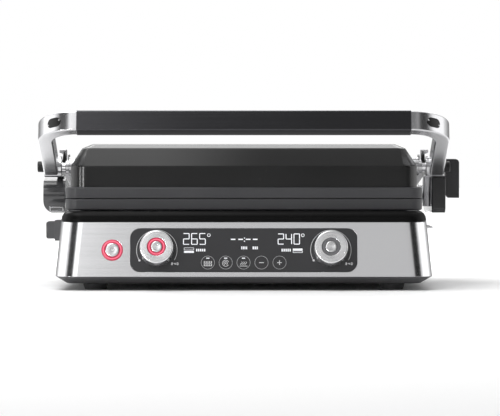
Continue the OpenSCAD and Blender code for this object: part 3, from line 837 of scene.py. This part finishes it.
# %% Pan, back and small base parts
dress("base_tray", 0.5, 2, pan_plastic, "base")
dress("rear_cover", 0.6, 3, pan_plastic, "base")
dress("cord_gland", 0.6, 3, rubber, "base")
dress("release_bezel", 0.8, 3, pan_plastic, "base")
dress("lower_release", 1.1, 4, pan_plastic, "lower_release")

# %% Feet and screws
FOOT = [(0, 1.2), (5.2, 1.2), (5.8, 0.3), (6.6, 0.0), (9.8, 0.0), (10.4, 0.4), (11.0, 3.0), (11.4, 4.2),
        (11.4, 6.5), (0, 6.5)]
SCREW = [(0, 0.7), (1.4, 0.7), (1.6, 0.0), (2.6, 0.0), (3.0, 0.4), (3.0, 1.5), (1.5, 1.5), (1.5, 8.8),
         (0, 9.0)]


def scattered(name, profile, steps, places, finish, node):
    """Lathed copies of a profile, its base on each of the places, all in millimetres."""
    one = shade(new_object("one", *lathe([(r * MM, h * MM) for r, h in profile], steps)), 30)
    spots = new_object("spots", [(MID_X + x * MM, y * MM, z * MM) for x, y, z in places], [])
    place(grown(name, spots_tree, Shape=one, Spots=spots, Material=finish), finish, "base", [node])


scattered("feet", FOOT, 48, [(x, y, 0) for x in (-141, 141) for y in (-118, 128)],
          rubber, "rubber_feet")
scattered("pan_screws", SCREW, 24, [(x, y, 5) for x in (-150, 150) for y in (-90, 110)],
          zinc, "base_screws")

# %% [markdown]
# ## Grill plates
#
# Each plate is a shallow casting: a flat-sided rim, a dished floor and a field of ribs. The rim is a
# stack of outlines that goes up outside, over the edge and down into the dish. The ribs stand on that
# floor with round tops and sloping ends, one mesh copied in a row by Geometry Nodes.

# %% Plates
PITCH = 11.0
PLATE_HALF, PLATE_DEEP = 170.0, 118.0


def plate_shell(name, outside, edge, floor_z, direction):
    """A dished plate: direction 1 opens upwards, -1 downwards; z values in millimetres."""
    w, d, s = PLATE_HALF, PLATE_DEEP, direction
    sections = [(outside, w - 2.0, d - 2.0, 10.0), (outside + 0.25 * s, w - 0.9, d - 0.9, 11.1),
                (outside + 0.9 * s, w - 0.2, d - 0.2, 11.8), (outside + 1.6 * s, w, d, 12.0),
                (edge - 0.8 * s, w, d, 12.0), (edge - 0.25 * s, w - 0.25, d - 0.25, 11.7),
                (edge, w - 0.9, d - 0.9, 11.1), (edge, w - 5.2, d - 5.2, 9.6),
                (edge - 0.5 * s, w - 6.0, d - 6.0, 9.4), (floor_z + 1.2 * s, w - 8.6, d - 8.6, 8.4),
                (floor_z, w - 9.8, d - 9.8, 8.0)]
    verts, faces = skin([level(z, half, -deep, deep, r, 12) for z, half, deep, r in sections])
    return shade(new_object(name, verts, faces), 34)


RIB_HALF, RIB_TALL, RIB_FOOT = 1.75, 3.0, -0.4
RIB_ENDS = ((-98, 0.12), (-95.5, 0.75), (-92, 1.0), (92, 1.0), (95.5, 0.75), (98, 0.12))


def rib(direction):
    """One rib with a round top and sloping ends, standing at the origin along Y."""
    half, tall, foot = RIB_HALF * MM, RIB_TALL * MM, RIB_FOOT * MM
    section = [(-half, foot), (half, foot)]
    for a in range(0, 181, 30):
        a = math.radians(a)
        section.append((half * math.cos(a) * 0.9, tall * (0.55 + 0.45 * math.sin(a))))
    rings = [[Vector((x, y * MM, direction * z * (share if z > 0 else 1))) for x, z in section]
             for y, share in RIB_ENDS]
    return shade(new_object("rib", *skin(rings)), 50)


def rib_row(name, count, floor_z, direction):
    """Ribs side by side on a plate's floor, centred on the body's middle."""
    start = (MID_X - (count - 1) / 2 * PITCH * MM, 0, floor_z * MM)
    return grown(name, row_tree, Shape=rib(direction), Count=count, Start=start,
                 Step=(PITCH * MM, 0, 0), Material=non_stick)


lower_box, upper_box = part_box("lower_plate"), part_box("upper_plate")
lower_shell = plate_shell("lower_shell", 75.0, lower_box[1].z / MM, 78.6, 1)
boss_levels = ((72.2, 159.4), (72.6, 160), (75.2, 160))
lower_boss = shade(new_object("lower_boss", *skin([level(z, w, -w + 52, w - 52, 9, 8)
                                                   for z, w in boss_levels])))
place(joined("lower_grill_plate", lower_shell, lower_boss, rib_row("lower_ribs", 29, 78.6, 1)),
      non_stick, "base", ["lower_plate"])
upper_shell = plate_shell("upper_shell", upper_box[1].z / MM, upper_box[0].z / MM, 92.6, -1)
place(joined("upper_grill_plate", upper_shell, rib_row("upper_ribs", 28, 92.6, -1)),
      non_stick, "cover", ["upper_plate"])


def repaint(finish, *nodes):
    """Puts a finish on engineering nodes that keep their own shape."""
    for node in nodes:
        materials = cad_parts[node].data.materials
        materials.clear()
        materials.append(finish)


repaint(bright_metal, "lower_plate_tabs", "upper_plate_tabs")

# %% [markdown]
# ## Cover
#
# The cover is deep-drawn: an upright wall, a steep brow, and a shallow facet that runs onto a flat
# top. The facets meet in tight bends of about a millimetre, which show as fine pale lines, so each
# bend gets five levels of its own on a short arc. A slightly smaller stack is cut out to hollow it.

# %% Cover
housing_low, housing_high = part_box("upper_housing")
COVER_HALF = (housing_high.x - housing_low.x) / 2 / MM
COVER_DEEP = (housing_high.y - housing_low.y) / 2 / MM


def bent(points, radius):
    """Rounds the corners of an open profile of (inset, z) with short arcs of five points."""
    result = [points[0]]
    for before, here, after in zip(points, points[1:], points[2:]):
        a, b = (Vector(q) - Vector(here) for q in (before, after))
        trim = min(radius, a.length * 0.4, b.length * 0.4)
        start = Vector(here) + a.normalized() * trim
        end = Vector(here) + b.normalized() * trim
        for t in (0, 0.25, 0.5, 0.75, 1):
            p = start * (1 - t) ** 2 + Vector(here) * 2 * t * (1 - t) + end * t * t
            result.append((p.x, p.y))
    return result + [points[-1]]


WALL_LOW, SHOULDER_Z, BROW_Z, CROWN_Z = 97.0, 117.0, 134.0, housing_high.z / MM
BROW_PROFILE = [(0.0, WALL_LOW), (0.0, SHOULDER_Z), (11.0, BROW_Z), (21.0, CROWN_Z), (60.0, CROWN_Z)]
SIDE_WALL, TOP_WALL = 2.6, 2.4
HOLE_R, HOLE_LONG, HOLE_X, HOLE_ABOVE_SHAFT = 0.007, 0.05, 0.165, 0.0069


def cover_level(z, inset, corner):
    """One ring of the cover, pulled in by an inset."""
    return level(z, COVER_HALF - inset, -COVER_DEEP + inset, COVER_DEEP - inset, corner)


outer = [cover_level(z, inset, max(15 - 0.6 * inset, 5)) for inset, z in bent(BROW_PROFILE, 0.9)]
hollow = [cover_level(z - TOP_WALL if z > WALL_LOW else WALL_LOW - 2, inset + SIDE_WALL,
                      max(12 - 0.6 * inset, 4)) for inset, z in BROW_PROFILE]
cover_shell = cut(new_object("cover_shell", *skin(outer)), new_object("hollow", *skin(hollow)))
print("cover shell", len(outer), "levels")
for side_sign in (-1, 1):
    hole = new_object("hole", *lathe([(0, 0), (HOLE_R, 0), (HOLE_R, HOLE_LONG), (0, HOLE_LONG)], 40))
    hole.rotation_euler = (0, math.pi / 2, 0)
    hole.location = (MID_X + side_sign * HOLE_X - HOLE_LONG / 2, 0,
                     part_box("left_pivot_shaft")[0].z + HOLE_ABOVE_SHAFT)
    bpy.context.view_layer.update()
    cut(cover_shell, hole)
catch_low, catch_high = (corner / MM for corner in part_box("upper_release"))
cut(cover_shell, block("catch_hole", -180, -148, catch_low.y - PLAY, catch_high.y + PLAY,
                       catch_low.z - PLAY, catch_high.z + PLAY))
place(shade(cover_shell, 24), enamel, "cover", ["upper_housing"])
dress("upper_release", 0.9, 3, pan_plastic, "upper_release")

# %% [markdown]
# ## Pivot lugs
#
# On each side of the cover a turned collar and a disc carry the pivot, with a bright upright and a
# black plastic gusset in front of it. The collar and disc are lathed about the pivot; the upright and
# gusset are plain plates with softened edges.

# %% Pivot lugs
shaft_low, shaft_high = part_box("left_pivot_shaft")
PIVOT_Z = (shaft_low.z + shaft_high.z) / 2


def about_x(name, profile, y, z, steps=64):
    """A lathed piece about an axis along X; profile in millimetres of radius and x from the middle."""
    obj = new_object(name, *lathe([(r * MM, x * MM) for r, x in profile], steps))
    turn = Matrix.Rotation(math.pi / 2, 4, "Y")
    obj.data.transform(Matrix.Translation((MID_X, y, z)) @ turn)
    return obj


def edged(obj, width, segments=3):
    """Rounds an object's edges and shades it."""
    return shade(bevelled(obj, width, segments, 34))


def prism_x(name, outline, x0, x1):
    """A prism along X of an outline in Y and Z, sizes in millimetres."""
    rings = [[Vector((MID_X + x * MM, y * MM, z * MM)) for y, z in outline] for x in (x0, x1)]
    return new_object(name, *skin(rings))


def plate_y(name, side, outline, y0, y1, width):
    """A plate along Y of an outline in X and Z, on one side of the body, with rounded edges."""
    rings = [[Vector((MID_X + side * x * MM, y * MM, z * MM)) for x, z in outline] for y in (y0, y1)]
    return edged(new_object(name, *skin(rings)), width)


SIDES = (("left", -1), ("right", 1))
COLLAR = [(4.95, 153), (6.6, 153), (6.9, 153.4), (6.9, 165.4), (9.0, 165.5), (9.4, 165.9), (9.4, 171.6),
          (9.0, 172), (6.9, 172.1), (6.9, 175), (6.6, 175.4), (4.95, 175.4), (4.95, 153)]
UPRIGHT = [(174.6, 116), (178.4, 116), (178.4, 128.6), (181.8, 129.6), (181.8, 132.8), (174.6, 132.8)]
POST = [(171, 112), (173.4, 112), (173.4, 128), (171.4, 128)]
WEB = [(164, 98), (171, 98), (176.5, 106), (176.5, 118), (171, 118), (171, 108), (164, 104)]
GUSSET = [(174.0, 120), (178.3, 120), (178.1, 126), (176.4, 131.8)]
for side_name, s in SIDES:
    collar = about_x("collar", [(r, s * x) for r, x in COLLAR], 0, PIVOT_Z)
    upright = plate_y("upright", s, UPRIGHT, 2, 14, 0.5)
    post = plate_y("post", s, POST, 1.6, 7, 0.3)
    web = plate_y("web", s, WEB, 2, 9, 0.4)
    place(joined(side_name + "_lug", shade(collar, 30), upright, post, web), lug_metal, "cover",
          [side_name + "_pivot_lug"])
    gusset = plate_y("gusset", s, GUSSET, -3, 1.7, 0.3)
    place(joined(side_name + "_gusset", gusset), cap_plastic, "cover")

# %% [markdown]
# ## Handle
#
# The grip is a rounded bar of dark anodised metal between two cast arms. Each arm is one satin
# casting: a rounded section swept round the corner and down the slope, a boss on the pivot, a bent
# link and an eye on the hinge pin. An oval pocket is cut through the corner, a thin bridge crosses it,
# and a dark cap closes it from outside. The smaller pieces keep their engineering shapes with softened
# edges.

# %% Grip and arms
ARM_SLOPE = math.radians(18.5)
ARM_REACH, ARM_HALF = 140.0, 9.75
ARM_OUT, ARM_IN, CORNER_R = 196.5, 182.5, 38.0
CORNER_X, CORNER_U = ARM_OUT - CORNER_R, ARM_REACH - CORNER_R
SWEEP_STEPS, POCKET_TURN, BRIDGE_TILT = 40, 55, 0.24
LINK_IN, LINK_OUT = 179.0, 185.5


def on_arm(x, u, w):
    """A point in the handle's frame: x across, u along the slope from the pivot, w square to it."""
    return Vector((MID_X + x * MM, (-u * math.cos(ARM_SLOPE) + w * math.sin(ARM_SLOPE)) * MM,
                   PIVOT_Z + (u * math.sin(ARM_SLOPE) + w * math.cos(ARM_SLOPE)) * MM))


def round_corner(s, degrees, r, along, w):
    """A point about the arm's corner: turned, out by r, along the outline, and square to the slope."""
    a = math.radians(degrees)
    return on_arm(s * (CORNER_X + math.cos(a) * r - math.sin(a) * along),
                  CORNER_U + math.sin(a) * r + math.cos(a) * along, w)


def arm_sweep(s):
    """The arm's bar: a rounded section carried round the corner and down the slope."""
    thick = (ARM_OUT - ARM_IN) / 2
    section = rounded(-thick, thick, -ARM_HALF, ARM_HALF, 1.6, 5)
    mid_r = CORNER_R - thick
    rings = [[round_corner(s, 90 - 90 * k / SWEEP_STEPS, mid_r + t, 0, w) for t, w in section]
             for k in range(SWEEP_STEPS + 1)]
    rings += [[on_arm(s * (CORNER_X + mid_r + t), u, w) for t, w in section] for u in (80, 50, 20, 0)]
    return new_object("bar", *skin(rings))


ARM_PARTS = (("_corner_cap", 0.4, 3, cap_plastic, "arms", "cap_black"),
             ("_pivot_cap", 1.2, 4, cap_plastic, "arms", "cap_black"),
             ("_pivot_shaft", 0.4, 2, bright_metal, "arms", "bright_steel"),
             ("_hinge_pin", 0.4, 2, bright_metal, "base", "bright_steel"),
             ("_hinge_bracket", 0.5, 2, zinc, "base", "screw_steel"))
POCKET = arc(3.1, 0, 4.7, -90, 90, 16) + arc(-3.1, 0, 4.7, 90, 270, 16)
BRIDGE = ((-7, -0.6), (7, -0.6), (7, 0.6), (-7, 0.6))
LINK = [(-2, 107), (0, 124), (38, 121), (62, 96.5), (147, 96.5), (147, 75.5), (50, 76), (32, 106)]
dress("grip", 1.1, 4, grip_metal, "arms")
hinge_low, hinge_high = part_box("left_hinge_pin")
HINGE_Y, HINGE_Z = (hinge_low.y + hinge_high.y) / 2, (hinge_low.z + hinge_high.z) / 2
for side_name, s in SIDES:
    bar_part = arm_sweep(s)
    cut(bar_part, new_object("pocket", *skin([[round_corner(s, POCKET_TURN, r, a, w) for a, w in POCKET]
                                              for r in (CORNER_R - 2.5, CORNER_R + 3)])))
    bridge = edged(new_object("bridge", *skin([
        [round_corner(s, POCKET_TURN, r, a, w + a * BRIDGE_TILT) for a, w in BRIDGE]
        for r in (CORNER_R - 4, CORNER_R - 0.1)])), 0.3, 2)
    boss = about_x("boss", [(5, s * LINK_IN), (9.9, s * LINK_IN), (10.35, s * (LINK_IN + 0.5)),
                            (10.35, s * (ARM_OUT - 0.6)), (9.8, s * ARM_OUT), (5, s * ARM_OUT),
                            (5, s * LINK_IN)], 0, PIVOT_Z)
    link = edged(prism_x("link", LINK, *sorted((s * LINK_IN, s * LINK_OUT))), 0.8)
    eye = about_x("eye", [(5.05, s * LINK_IN), (11.0, s * LINK_IN), (11.5, s * (LINK_IN + 0.5)),
                          (11.5, s * (LINK_OUT - 0.5)), (11.0, s * LINK_OUT), (5.05, s * LINK_OUT),
                          (5.05, s * LINK_IN)], HINGE_Y, HINGE_Z)
    place(joined(side_name + "_arm_casting", shade(bar_part, 40), bridge, shade(boss, 30), link,
                 shade(eye, 30)), arm_satin, "arms", [side_name + "_arm"])
    for part, width, segments, finish, body, slot in ARM_PARTS:
        dress(side_name + part, width, segments, finish, body)
    # The left cover takes the paler black, which paints in the light on the left side; the right one
    # stays gloss black.
    hinge_finish = hinge_gloss if s < 0 else gloss_black
    dress(side_name + "_hinge_cover", 1.6, 4, hinge_finish, "arms")

# Thin bright strips outline a shallow recess near the foot of the left cover's round end: a painted
# highlight for the light along the recess's edges, as the recess itself isn't cut.
RECESS_LOW, RECESS_HIGH, LINE_HALF = (15.6, 72.2), (11.0, 75.9), 0.5
SQUARE = ((-1, -1), (1, -1), (1, 1), (-1, 1))
lines = [prism_x("line", [(y + a * LINE_HALF, z + b * LINE_HALF) for a, b in SQUARE], -192, -178.4)
         for y, z in (RECESS_LOW, RECESS_HIGH)]
for x in (-192, -179.2):
    lines.append(prism_x("line", [
        (RECESS_LOW[0] - LINE_HALF, RECESS_LOW[1] - 0.4), (RECESS_LOW[0] + LINE_HALF, RECESS_LOW[1]),
        (RECESS_HIGH[0] + LINE_HALF, RECESS_HIGH[1]), (RECESS_HIGH[0] - LINE_HALF, RECESS_HIGH[1])],
        x, x + 0.8))
place(edged(joined("recess_outline", *lines), 0.15, 2), lug_metal, "arms")
dress("hinge_lever", 1.1, 4, gloss_black, "hinge_lever")

# %% [markdown]
# ## Hinge springs
#
# A torsion spring sits round each hinge pin and carries part of the cover's weight. It is a coil by
# rule, so the coil tree makes it from its turns, its radius and its wire; the five rings of the
# engineering model stand for it.

# %% Springs
WIRE_R, TURNS = 0.0012, 4.6
for side_name, s in SIDES:
    low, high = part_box(side_name + "_hinge_spring")
    spring = grown(side_name + "_spring_coil", coil_tree, Turns=TURNS, Wire=WIRE_R, Material=zinc,
                   Radius=(high.z - low.z) / 2 - WIRE_R, Length=high.x - low.x - 2 * WIRE_R)
    start = (low.x + WIRE_R, (low.y + high.y) / 2, (low.z + high.z) / 2)
    spring.data.transform(Matrix.Translation(start) @ Matrix.Rotation(math.pi / 2, 4, "Y"))
    place(shade(spring, 60), zinc, "base", [side_name + "_hinge_spring"])

# %% [markdown]
# ## Drip tray
#
# The tray is a dark moulded box behind a steel face that continues the side of the band. Only the
# finger lip shows from the front. Both keep the shape of the engineering model with softened edges.

# %% Drip tray
dress("drip_tray", 0.5, 2, pan_plastic, "drip_tray")
dress("drip_tray_front", 0.4, 2, band_steel, "drip_tray")

# %% [markdown]
# ## Dials and buttons
#
# The dials are turned from aluminium: the cut leaves grooves in rings, and those rings throw the two
# bright fans that sweep round as the dial turns. The finish leans the normal outwards and inwards
# ring by ring, about the dial's own centre, so the fans come from the light and aren't painted. Each
# dial is lathed about its axis and set on the leaning panel; the index pit is a small dish.

# %% Turned metal
DIAL_CENTRES = {"left": on_front(-DIAL_X, 0, 0), "right": on_front(DIAL_X, 0, 0)}
POWER_CENTRE = on_front(POWER_X, 0, 0)
RINGS_PER_METRE, RING_LEAN = 5200, 0.9


def turned(centre):
    """Formula of metal turned about the front's axis through a centre."""
    def formula(s):
        sideways, upwards, radius = s.from_axis(centre)
        along_radius = s.node("ShaderNodeCombineXYZ", None, {0: radius * RINGS_PER_METRE})
        rings = s.noise(along_radius, 1.0, 2.0, 0.6)
        spoke = s.node("ShaderNodeCombineXYZ", None, {
            0: sideways, 1: upwards * FRONT_UP.y, 2: upwards * FRONT_UP.z})
        outwards = s.node("ShaderNodeVectorMath", {"operation": "NORMALIZE"}, {0: spoke})
        in_world = s.node("ShaderNodeVectorTransform", {
            "vector_type": "NORMAL", "convert_from": "OBJECT", "convert_to": "WORLD"}, {0: outwards})
        return {
            "Base Color": s.mix(rings, (0.70, 0.70, 0.71), (0.86, 0.86, 0.87)),
            "Roughness": 0.17 + 0.10 * rings,
            "Normal": s.tilted(in_world, (rings - 0.5) * RING_LEAN),
        }
    return formula


dial_finish = {name: material(name + "_dial_metal", turned(centre), Metallic=1.0)
               for name, centre in DIAL_CENTRES.items()}
dial_lamp = material("dial_lamp", ring_lamp(DIAL_CENTRES["left"], 5.7, 8.4))
power_lamp = material("power_lamp", ring_lamp(POWER_CENTRE, 6.8, 9.9))
button_finish = material("power_button_metal", turned(POWER_CENTRE), Metallic=1.0)


def on_axis(name, profile, centre):
    """A lathed piece on the leaning front, its profile in millimetres of radius and depth."""
    obj = new_object(name, *lathe([(r * MM, d * MM) for r, d in profile], 128))
    obj.data.transform(Matrix.Translation(centre) @ FRONT_TURN.to_4x4())
    return shade(obj, 34)


# %% Dials
DIAL_R, DIAL_H, LIGHT_R, PUSH_R, TUBE_R = 15.6, 17.5, 8.4, 5.4, 6.8
SKIRT_R, HOLE_IN = DIAL_R + 0.9, LIGHT_R + 0.3
dial_profile = [
    (TUBE_R + 0.2, 6.0), (DIAL_R - 1.4, 6.0), (DIAL_R - 1.4, 1.0), (DIAL_R + 0.6, 1.0),
    (SKIRT_R, 1.3), (SKIRT_R, 2.8), (DIAL_R + 0.75, 3.1), (DIAL_R + 0.05, DIAL_H - 1.1),
    (DIAL_R - 0.25, DIAL_H - 0.45), (DIAL_R - 0.8, DIAL_H - 0.1), (DIAL_R - 1.3, DIAL_H),
    (LIGHT_R + 0.75, DIAL_H), (LIGHT_R + 0.4, DIAL_H - 0.15), (HOLE_IN, DIAL_H - 0.4),
    (HOLE_IN, DIAL_H - 2.6), (TUBE_R + 0.2, DIAL_H - 2.6), (TUBE_R + 0.2, 6.0)]
light_profile = [
    (PUSH_R + 0.3, 2.8), (TUBE_R, 2.8), (TUBE_R, DIAL_H - 2.2), (LIGHT_R, DIAL_H - 2.2),
    (LIGHT_R, DIAL_H - 0.5), (LIGHT_R - 0.3, DIAL_H - 0.2), (PUSH_R + 0.6, DIAL_H - 0.2),
    (PUSH_R + 0.3, DIAL_H - 0.5), (PUSH_R + 0.3, 2.8)]
push_profile = [
    (0, 0), (2.5, 0), (2.5, DIAL_H - 3.4), (PUSH_R, DIAL_H - 3.4), (PUSH_R, DIAL_H - 0.6),
    (PUSH_R - 0.25, DIAL_H - 0.2), (PUSH_R - 0.8, DIAL_H), (3.6, DIAL_H), (2.6, DIAL_H - 0.12),
    (0, DIAL_H - 0.2)]
PIT_R, PIT_OUT, PIT_TURN = 0.95, 13.0, math.radians(-25)
PIT = Vector((PIT_OUT * math.cos(PIT_TURN), PIT_OUT * math.sin(PIT_TURN), DIAL_H)) * MM
for side_name, centre in DIAL_CENTRES.items():
    dial = on_axis(side_name + "_dial_turned", dial_profile, centre)
    bm = bmesh.new()
    bmesh.ops.create_uvsphere(bm, u_segments=24, v_segments=12, radius=PIT_R * MM)
    ball_mesh = bpy.data.meshes.new("pit")
    bm.to_mesh(ball_mesh)
    bm.free()
    ball_mesh.transform(Matrix.Translation(centre + FRONT_TURN @ PIT))
    place(shade(cut(dial, linked("pit", ball_mesh)), 34), dial_finish[side_name], side_name + "_dial",
          [side_name + "_dial"])
    lit_ring = side_name == "left"
    place(on_axis(side_name + "_light", light_profile, centre), dial_lamp if lit_ring else unlit_lens,
          "base", [side_name + "_light_ring"])
    place(on_axis(side_name + "_push_cap", push_profile, centre), dial_finish[side_name],
          side_name + "_push", [side_name + "_push"])

# %% Power button
POWER_R = 6.5
ring_profile = [
    (POWER_R + 0.3, -4.0), (RING_R + 2, -4.0), (RING_R + 2, -1.2), (RING_R, -1.2), (RING_R, 0.4),
    (RING_R - 0.25, 0.85), (RING_R - 0.8, 1.0), (POWER_R + 0.8, 1.0), (POWER_R + 0.4, 0.8),
    (POWER_R + 0.3, 0.4), (POWER_R + 0.3, -4.0)]
button_profile = [(0, -4.4), (POWER_R, -4.4), (POWER_R, 1.0), (POWER_R - 0.2, 1.5), (POWER_R - 0.7, 1.8),
                  (4.4, 1.8), (2.0, 1.62), (0, 1.55)]
place(on_axis("power_light", ring_profile, POWER_CENTRE), power_lamp, "base",
      ["power_light_ring"])
place(on_axis("power_button_cap", button_profile, POWER_CENTRE), button_finish, "power_button",
      ["power_button"])

# %% [markdown]
# ## Panel
#
# The control panel is one dark glossy insert, set into the steel with a narrow bright bevel round it.
# The display shines through from behind, so its digits and bars are thin lit films a few hundredths of
# a millimetre proud, and the printed icons and scales are the same kind of film in pale ink. Digits are
# built from seven segments. Words are left out: rows of small bars stand where they were.

# %% Panel
panel_rings = []
for d, pull in ((-2.6, 0.25), (0.0, 0.25), (0.28, 0.35), (0.4, 0.57)):
    w, h = PANEL_HALF_W - pull, PANEL_HALF_H - pull
    panel_rings.append([on_front(x, u, d) for x, u in rounded(-w, w, -h, h, PANEL_R - pull)])
panel = new_object("panel_insert", *skin(panel_rings))
for x in (-DIAL_X, DIAL_X):
    cut(panel, front_prism("stem", arc(x, 0, 7.6, 0, 355, 71), -8, 8))
place(shade(panel, 24), panel_gloss, "base", ["control_panel"])

# %% Films
FILM_LOW, FILM_TOP = 0.36, 0.46


def film(outline):
    """A thin flat shape on the panel, its outline in millimetres from the panel's centre."""
    return front_prism("film", outline, FILM_LOW, FILM_TOP)


def bar(x0, x1, u0, u1):
    """A flat bar between two corners."""
    return film([(x0, u0), (x1, u0), (x1, u1), (x0, u1)])


def ring_film(x, u, r, width, start=0.0, end=360.0, steps=72):
    """A ring, or part of one, as strips between two arcs."""
    outside = arc(x, u, r, start, end, steps)
    inside = arc(x, u, r - width, start, end, steps)
    verts, faces = [], []
    for d in (FILM_LOW, FILM_TOP):
        verts += [on_front(a, b, d) for a, b in outside + inside]
    n, half = steps + 1, 2 * (steps + 1)
    for i in range(steps):
        j = i + 1
        faces += [(i, n + i, n + j, j), (half + i, half + j, half + n + j, half + n + i),
                  (i, j, half + j, half + i), (n + j, n + i, half + n + i, half + n + j)]
    if end - start < 359:
        faces += [(0, half, half + n, n), (steps, n + steps, half + n + steps, half + steps)]
    return new_object("ring_film", verts, faces)


SEGMENTS = {"0": "abcdef", "2": "abged", "4": "fgbc", "5": "afgcd", "6": "afgecd"}
STROKE, GAP = 0.82, 0.16


def digit(mark, x, u, width, tall):
    """A seven-segment digit with its lower left corner at (x, u)."""
    t, mid, right = STROKE, tall / 2, width - STROKE
    across = (t / 2, width - t / 2)
    below, above = (GAP * 3, mid - GAP), (mid + GAP, tall - GAP * 3)
    shapes = {"a": (*across, tall - t, tall), "g": (*across, mid - t / 2, mid + t / 2),
              "d": (*across, 0, t), "f": (0, t, *above), "b": (right, width, *above),
              "e": (0, t, *below), "c": (right, width, *below)}
    return [bar(x + a, x + b, u + c, u + e) for a, b, c, e in (shapes[k] for k in SEGMENTS[mark])]


def number(text, x0, x1, u0, u1):
    """Digits spread evenly between two sides."""
    width = 0.86 * (x1 - x0) / len(text)
    pitch = (x1 - x0 - width) / (len(text) - 1)
    return [part for i, mark in enumerate(text)
            for part in digit(mark, x0 + i * pitch, u0, width, u1 - u0)]


def frame_bar(x0, x1, u0, u1):
    """An open frame of four thin bars."""
    line = 0.35
    return [bar(x0, x1, u0, u0 + line), bar(x0, x1, u1 - line, u1), bar(x0, x0 + line, u0, u1),
            bar(x1 - line, x1, u0, u1)]


def blocks(count, x0, x1, u0, u1):
    """A row of small bars from side to side."""
    pitch = (x1 - x0) / count
    return [grown("bars", row_tree, Shape=bar(0, pitch * 0.62, u0, u1), Count=count,
                  Start=(x0 * MM, 0, 0), Step=(pitch * MM, 0, 0), Material=display_white)]


# %% Display
lit = number("265", -57.3, -35.9, 5.1, 16.3) + [ring_film(-33.0, 14.3, 1.6, 0.5)]
lit += frame_bar(-56.4, -47.0, -0.1, 2.3) + [bar(-56.4, -47.0, -2.7, -0.9)]
lit += blocks(5, -44.9, -35.6, -1.3, 1.2)
lit += [bar(x - 2.2, x + 2.2, 9.75, 10.85) for x in (-10.1, -3.0, 4.1, 10.7)]
lit += [bar(0.1, 1.1, 11.0, 12.0), bar(0.1, 1.1, 8.0, 9.0)]
lit += blocks(4, -2.5, 3.7, 0.7, 3.4) + blocks(3, 8.3, 13.8, 0.7, 3.4)
lit += number("240", 31.9, 52.9, 5.3, 15.9) + [ring_film(55.6, 14.2, 1.6, 0.5)]
lit += (blocks(5, 35.5, 44.9, -1.4, 1.2) + [bar(46.2, 55.3, -0.4, 1.4)]
        + frame_bar(46.2, 55.3, -2.6, -0.7))
lit += [bar(x - 1.5, x + 1.5, -8.25, -7.35) for x in (-33.9, -17.1, -0.3)]
display = joined("display_films", *lit)
print("display spans", [round(c, 4) for c in display.dimensions])
place(display, display_white, "base")

# %% [markdown]
# ## Printed marks
#
# Round each dial runs a thin scale with a fat dot at its start, and each touch field is a fine circle
# with a picture in it: two grill plates, a hot spiral, steam, less and more. The dots and the number
# are generic; the pictures are drawn from strips and rings like everything else on the panel.

# %% Marks
faint = [ring_film(x, -12.0, 6.4, 0.32) for x in (-33.9, -17.1, -0.3, 16.6, 33.6)]
marks = []
for x in (-37.6, -35.9, -34.2, -32.5, -30.8):
    marks += [bar(x, x + 0.8, -12.6, -10.6), bar(x, x + 0.8, -15.0, -13.4)]
marks += [bar(-37.8, -30.0, -12.9, -12.5), bar(-37.8, -30.0, -15.4, -15.0)]
marks += [ring_film(-17.1, -12.6, 3.2, 0.5, 20, 330), ring_film(-17.1, -12.6, 1.9, 0.5, -60, 240),
          bar(-17.7, -16.5, -13.2, -12.0)]
for x in (-2.3, -0.3, 1.7):
    marks += [ring_film(x, -13.6, 1.0, 0.45, 90, 270, 16), ring_film(x, -12.1, 1.0, 0.45, -90, 90, 16)]
marks += [bar(-4.0, 3.4, -15.6, -15.1)]
marks += [bar(14.4, 18.8, -12.4, -11.7), bar(31.4, 35.8, -12.4, -11.7), bar(33.25, 33.95, -14.25, -9.85)]
for x in (-DIAL_X, DIAL_X):
    marks.append(ring_film(x, 0, 19.3, 0.4, -30, 210))
    marks.append(film(arc(x - 16.3, -9.9, 1.0, 0, 345, 23)))
    marks += number("240", x + 13.4, x + 20.6, -14.4, -11.9)
place(joined("printed_marks", *marks), print_ink, "base")
place(joined("touch_circles", *faint), dim_ink, "base")

# A picture of a stand-by switch, in the recess of the power button
def on_button(outline, d0, d1):
    """A thin film on the power button."""
    return front_prism("symbol", [(POWER_X + x, u) for x, u in outline], d0, d1)


SYMBOL_IN, SYMBOL_OUT, SYMBOL_START, SYMBOL_STEP = 1.7, 2.1, 125, 14.5
symbol = [on_button([(-0.22, 0.4), (0.22, 0.4), (0.22, 2.5), (-0.22, 2.5)], 1.45, 1.68)]
for k in range(20):
    a0 = SYMBOL_START + k * SYMBOL_STEP
    inside = arc(0, 0, SYMBOL_IN, a0, a0 + SYMBOL_STEP, 1)
    outside = arc(0, 0, SYMBOL_OUT, a0 + SYMBOL_STEP, a0, 1)
    symbol.append(on_button(inside + outside, 1.45, 1.72))
place(joined("power_symbol", *symbol), cap_plastic, "power_button")

# %% [markdown]
# ## Inside and underneath
#
# The heaters, shields, boards and switches are closed in by the housings. They keep their engineering
# shapes and only get a finish of their own.

# %% Hidden parts
repaint(switch_grey, "display_module", "left_encoder", "right_encoder", "power_switch")
repaint(board_green, "control_board", "power_board")
repaint(sheet_steel, "lower_heat_tray", "upper_heat_shield")
repaint(heater_tint, "lower_heater", "upper_heater")
repaint(bright_metal, "lower_thermostat", "upper_thermostat")
repaint(zinc, "grip_core")

# %% [markdown]
# ## Update
#
# The scene is brought up to date at the end.

# %% Update
bpy.context.view_layer.update()
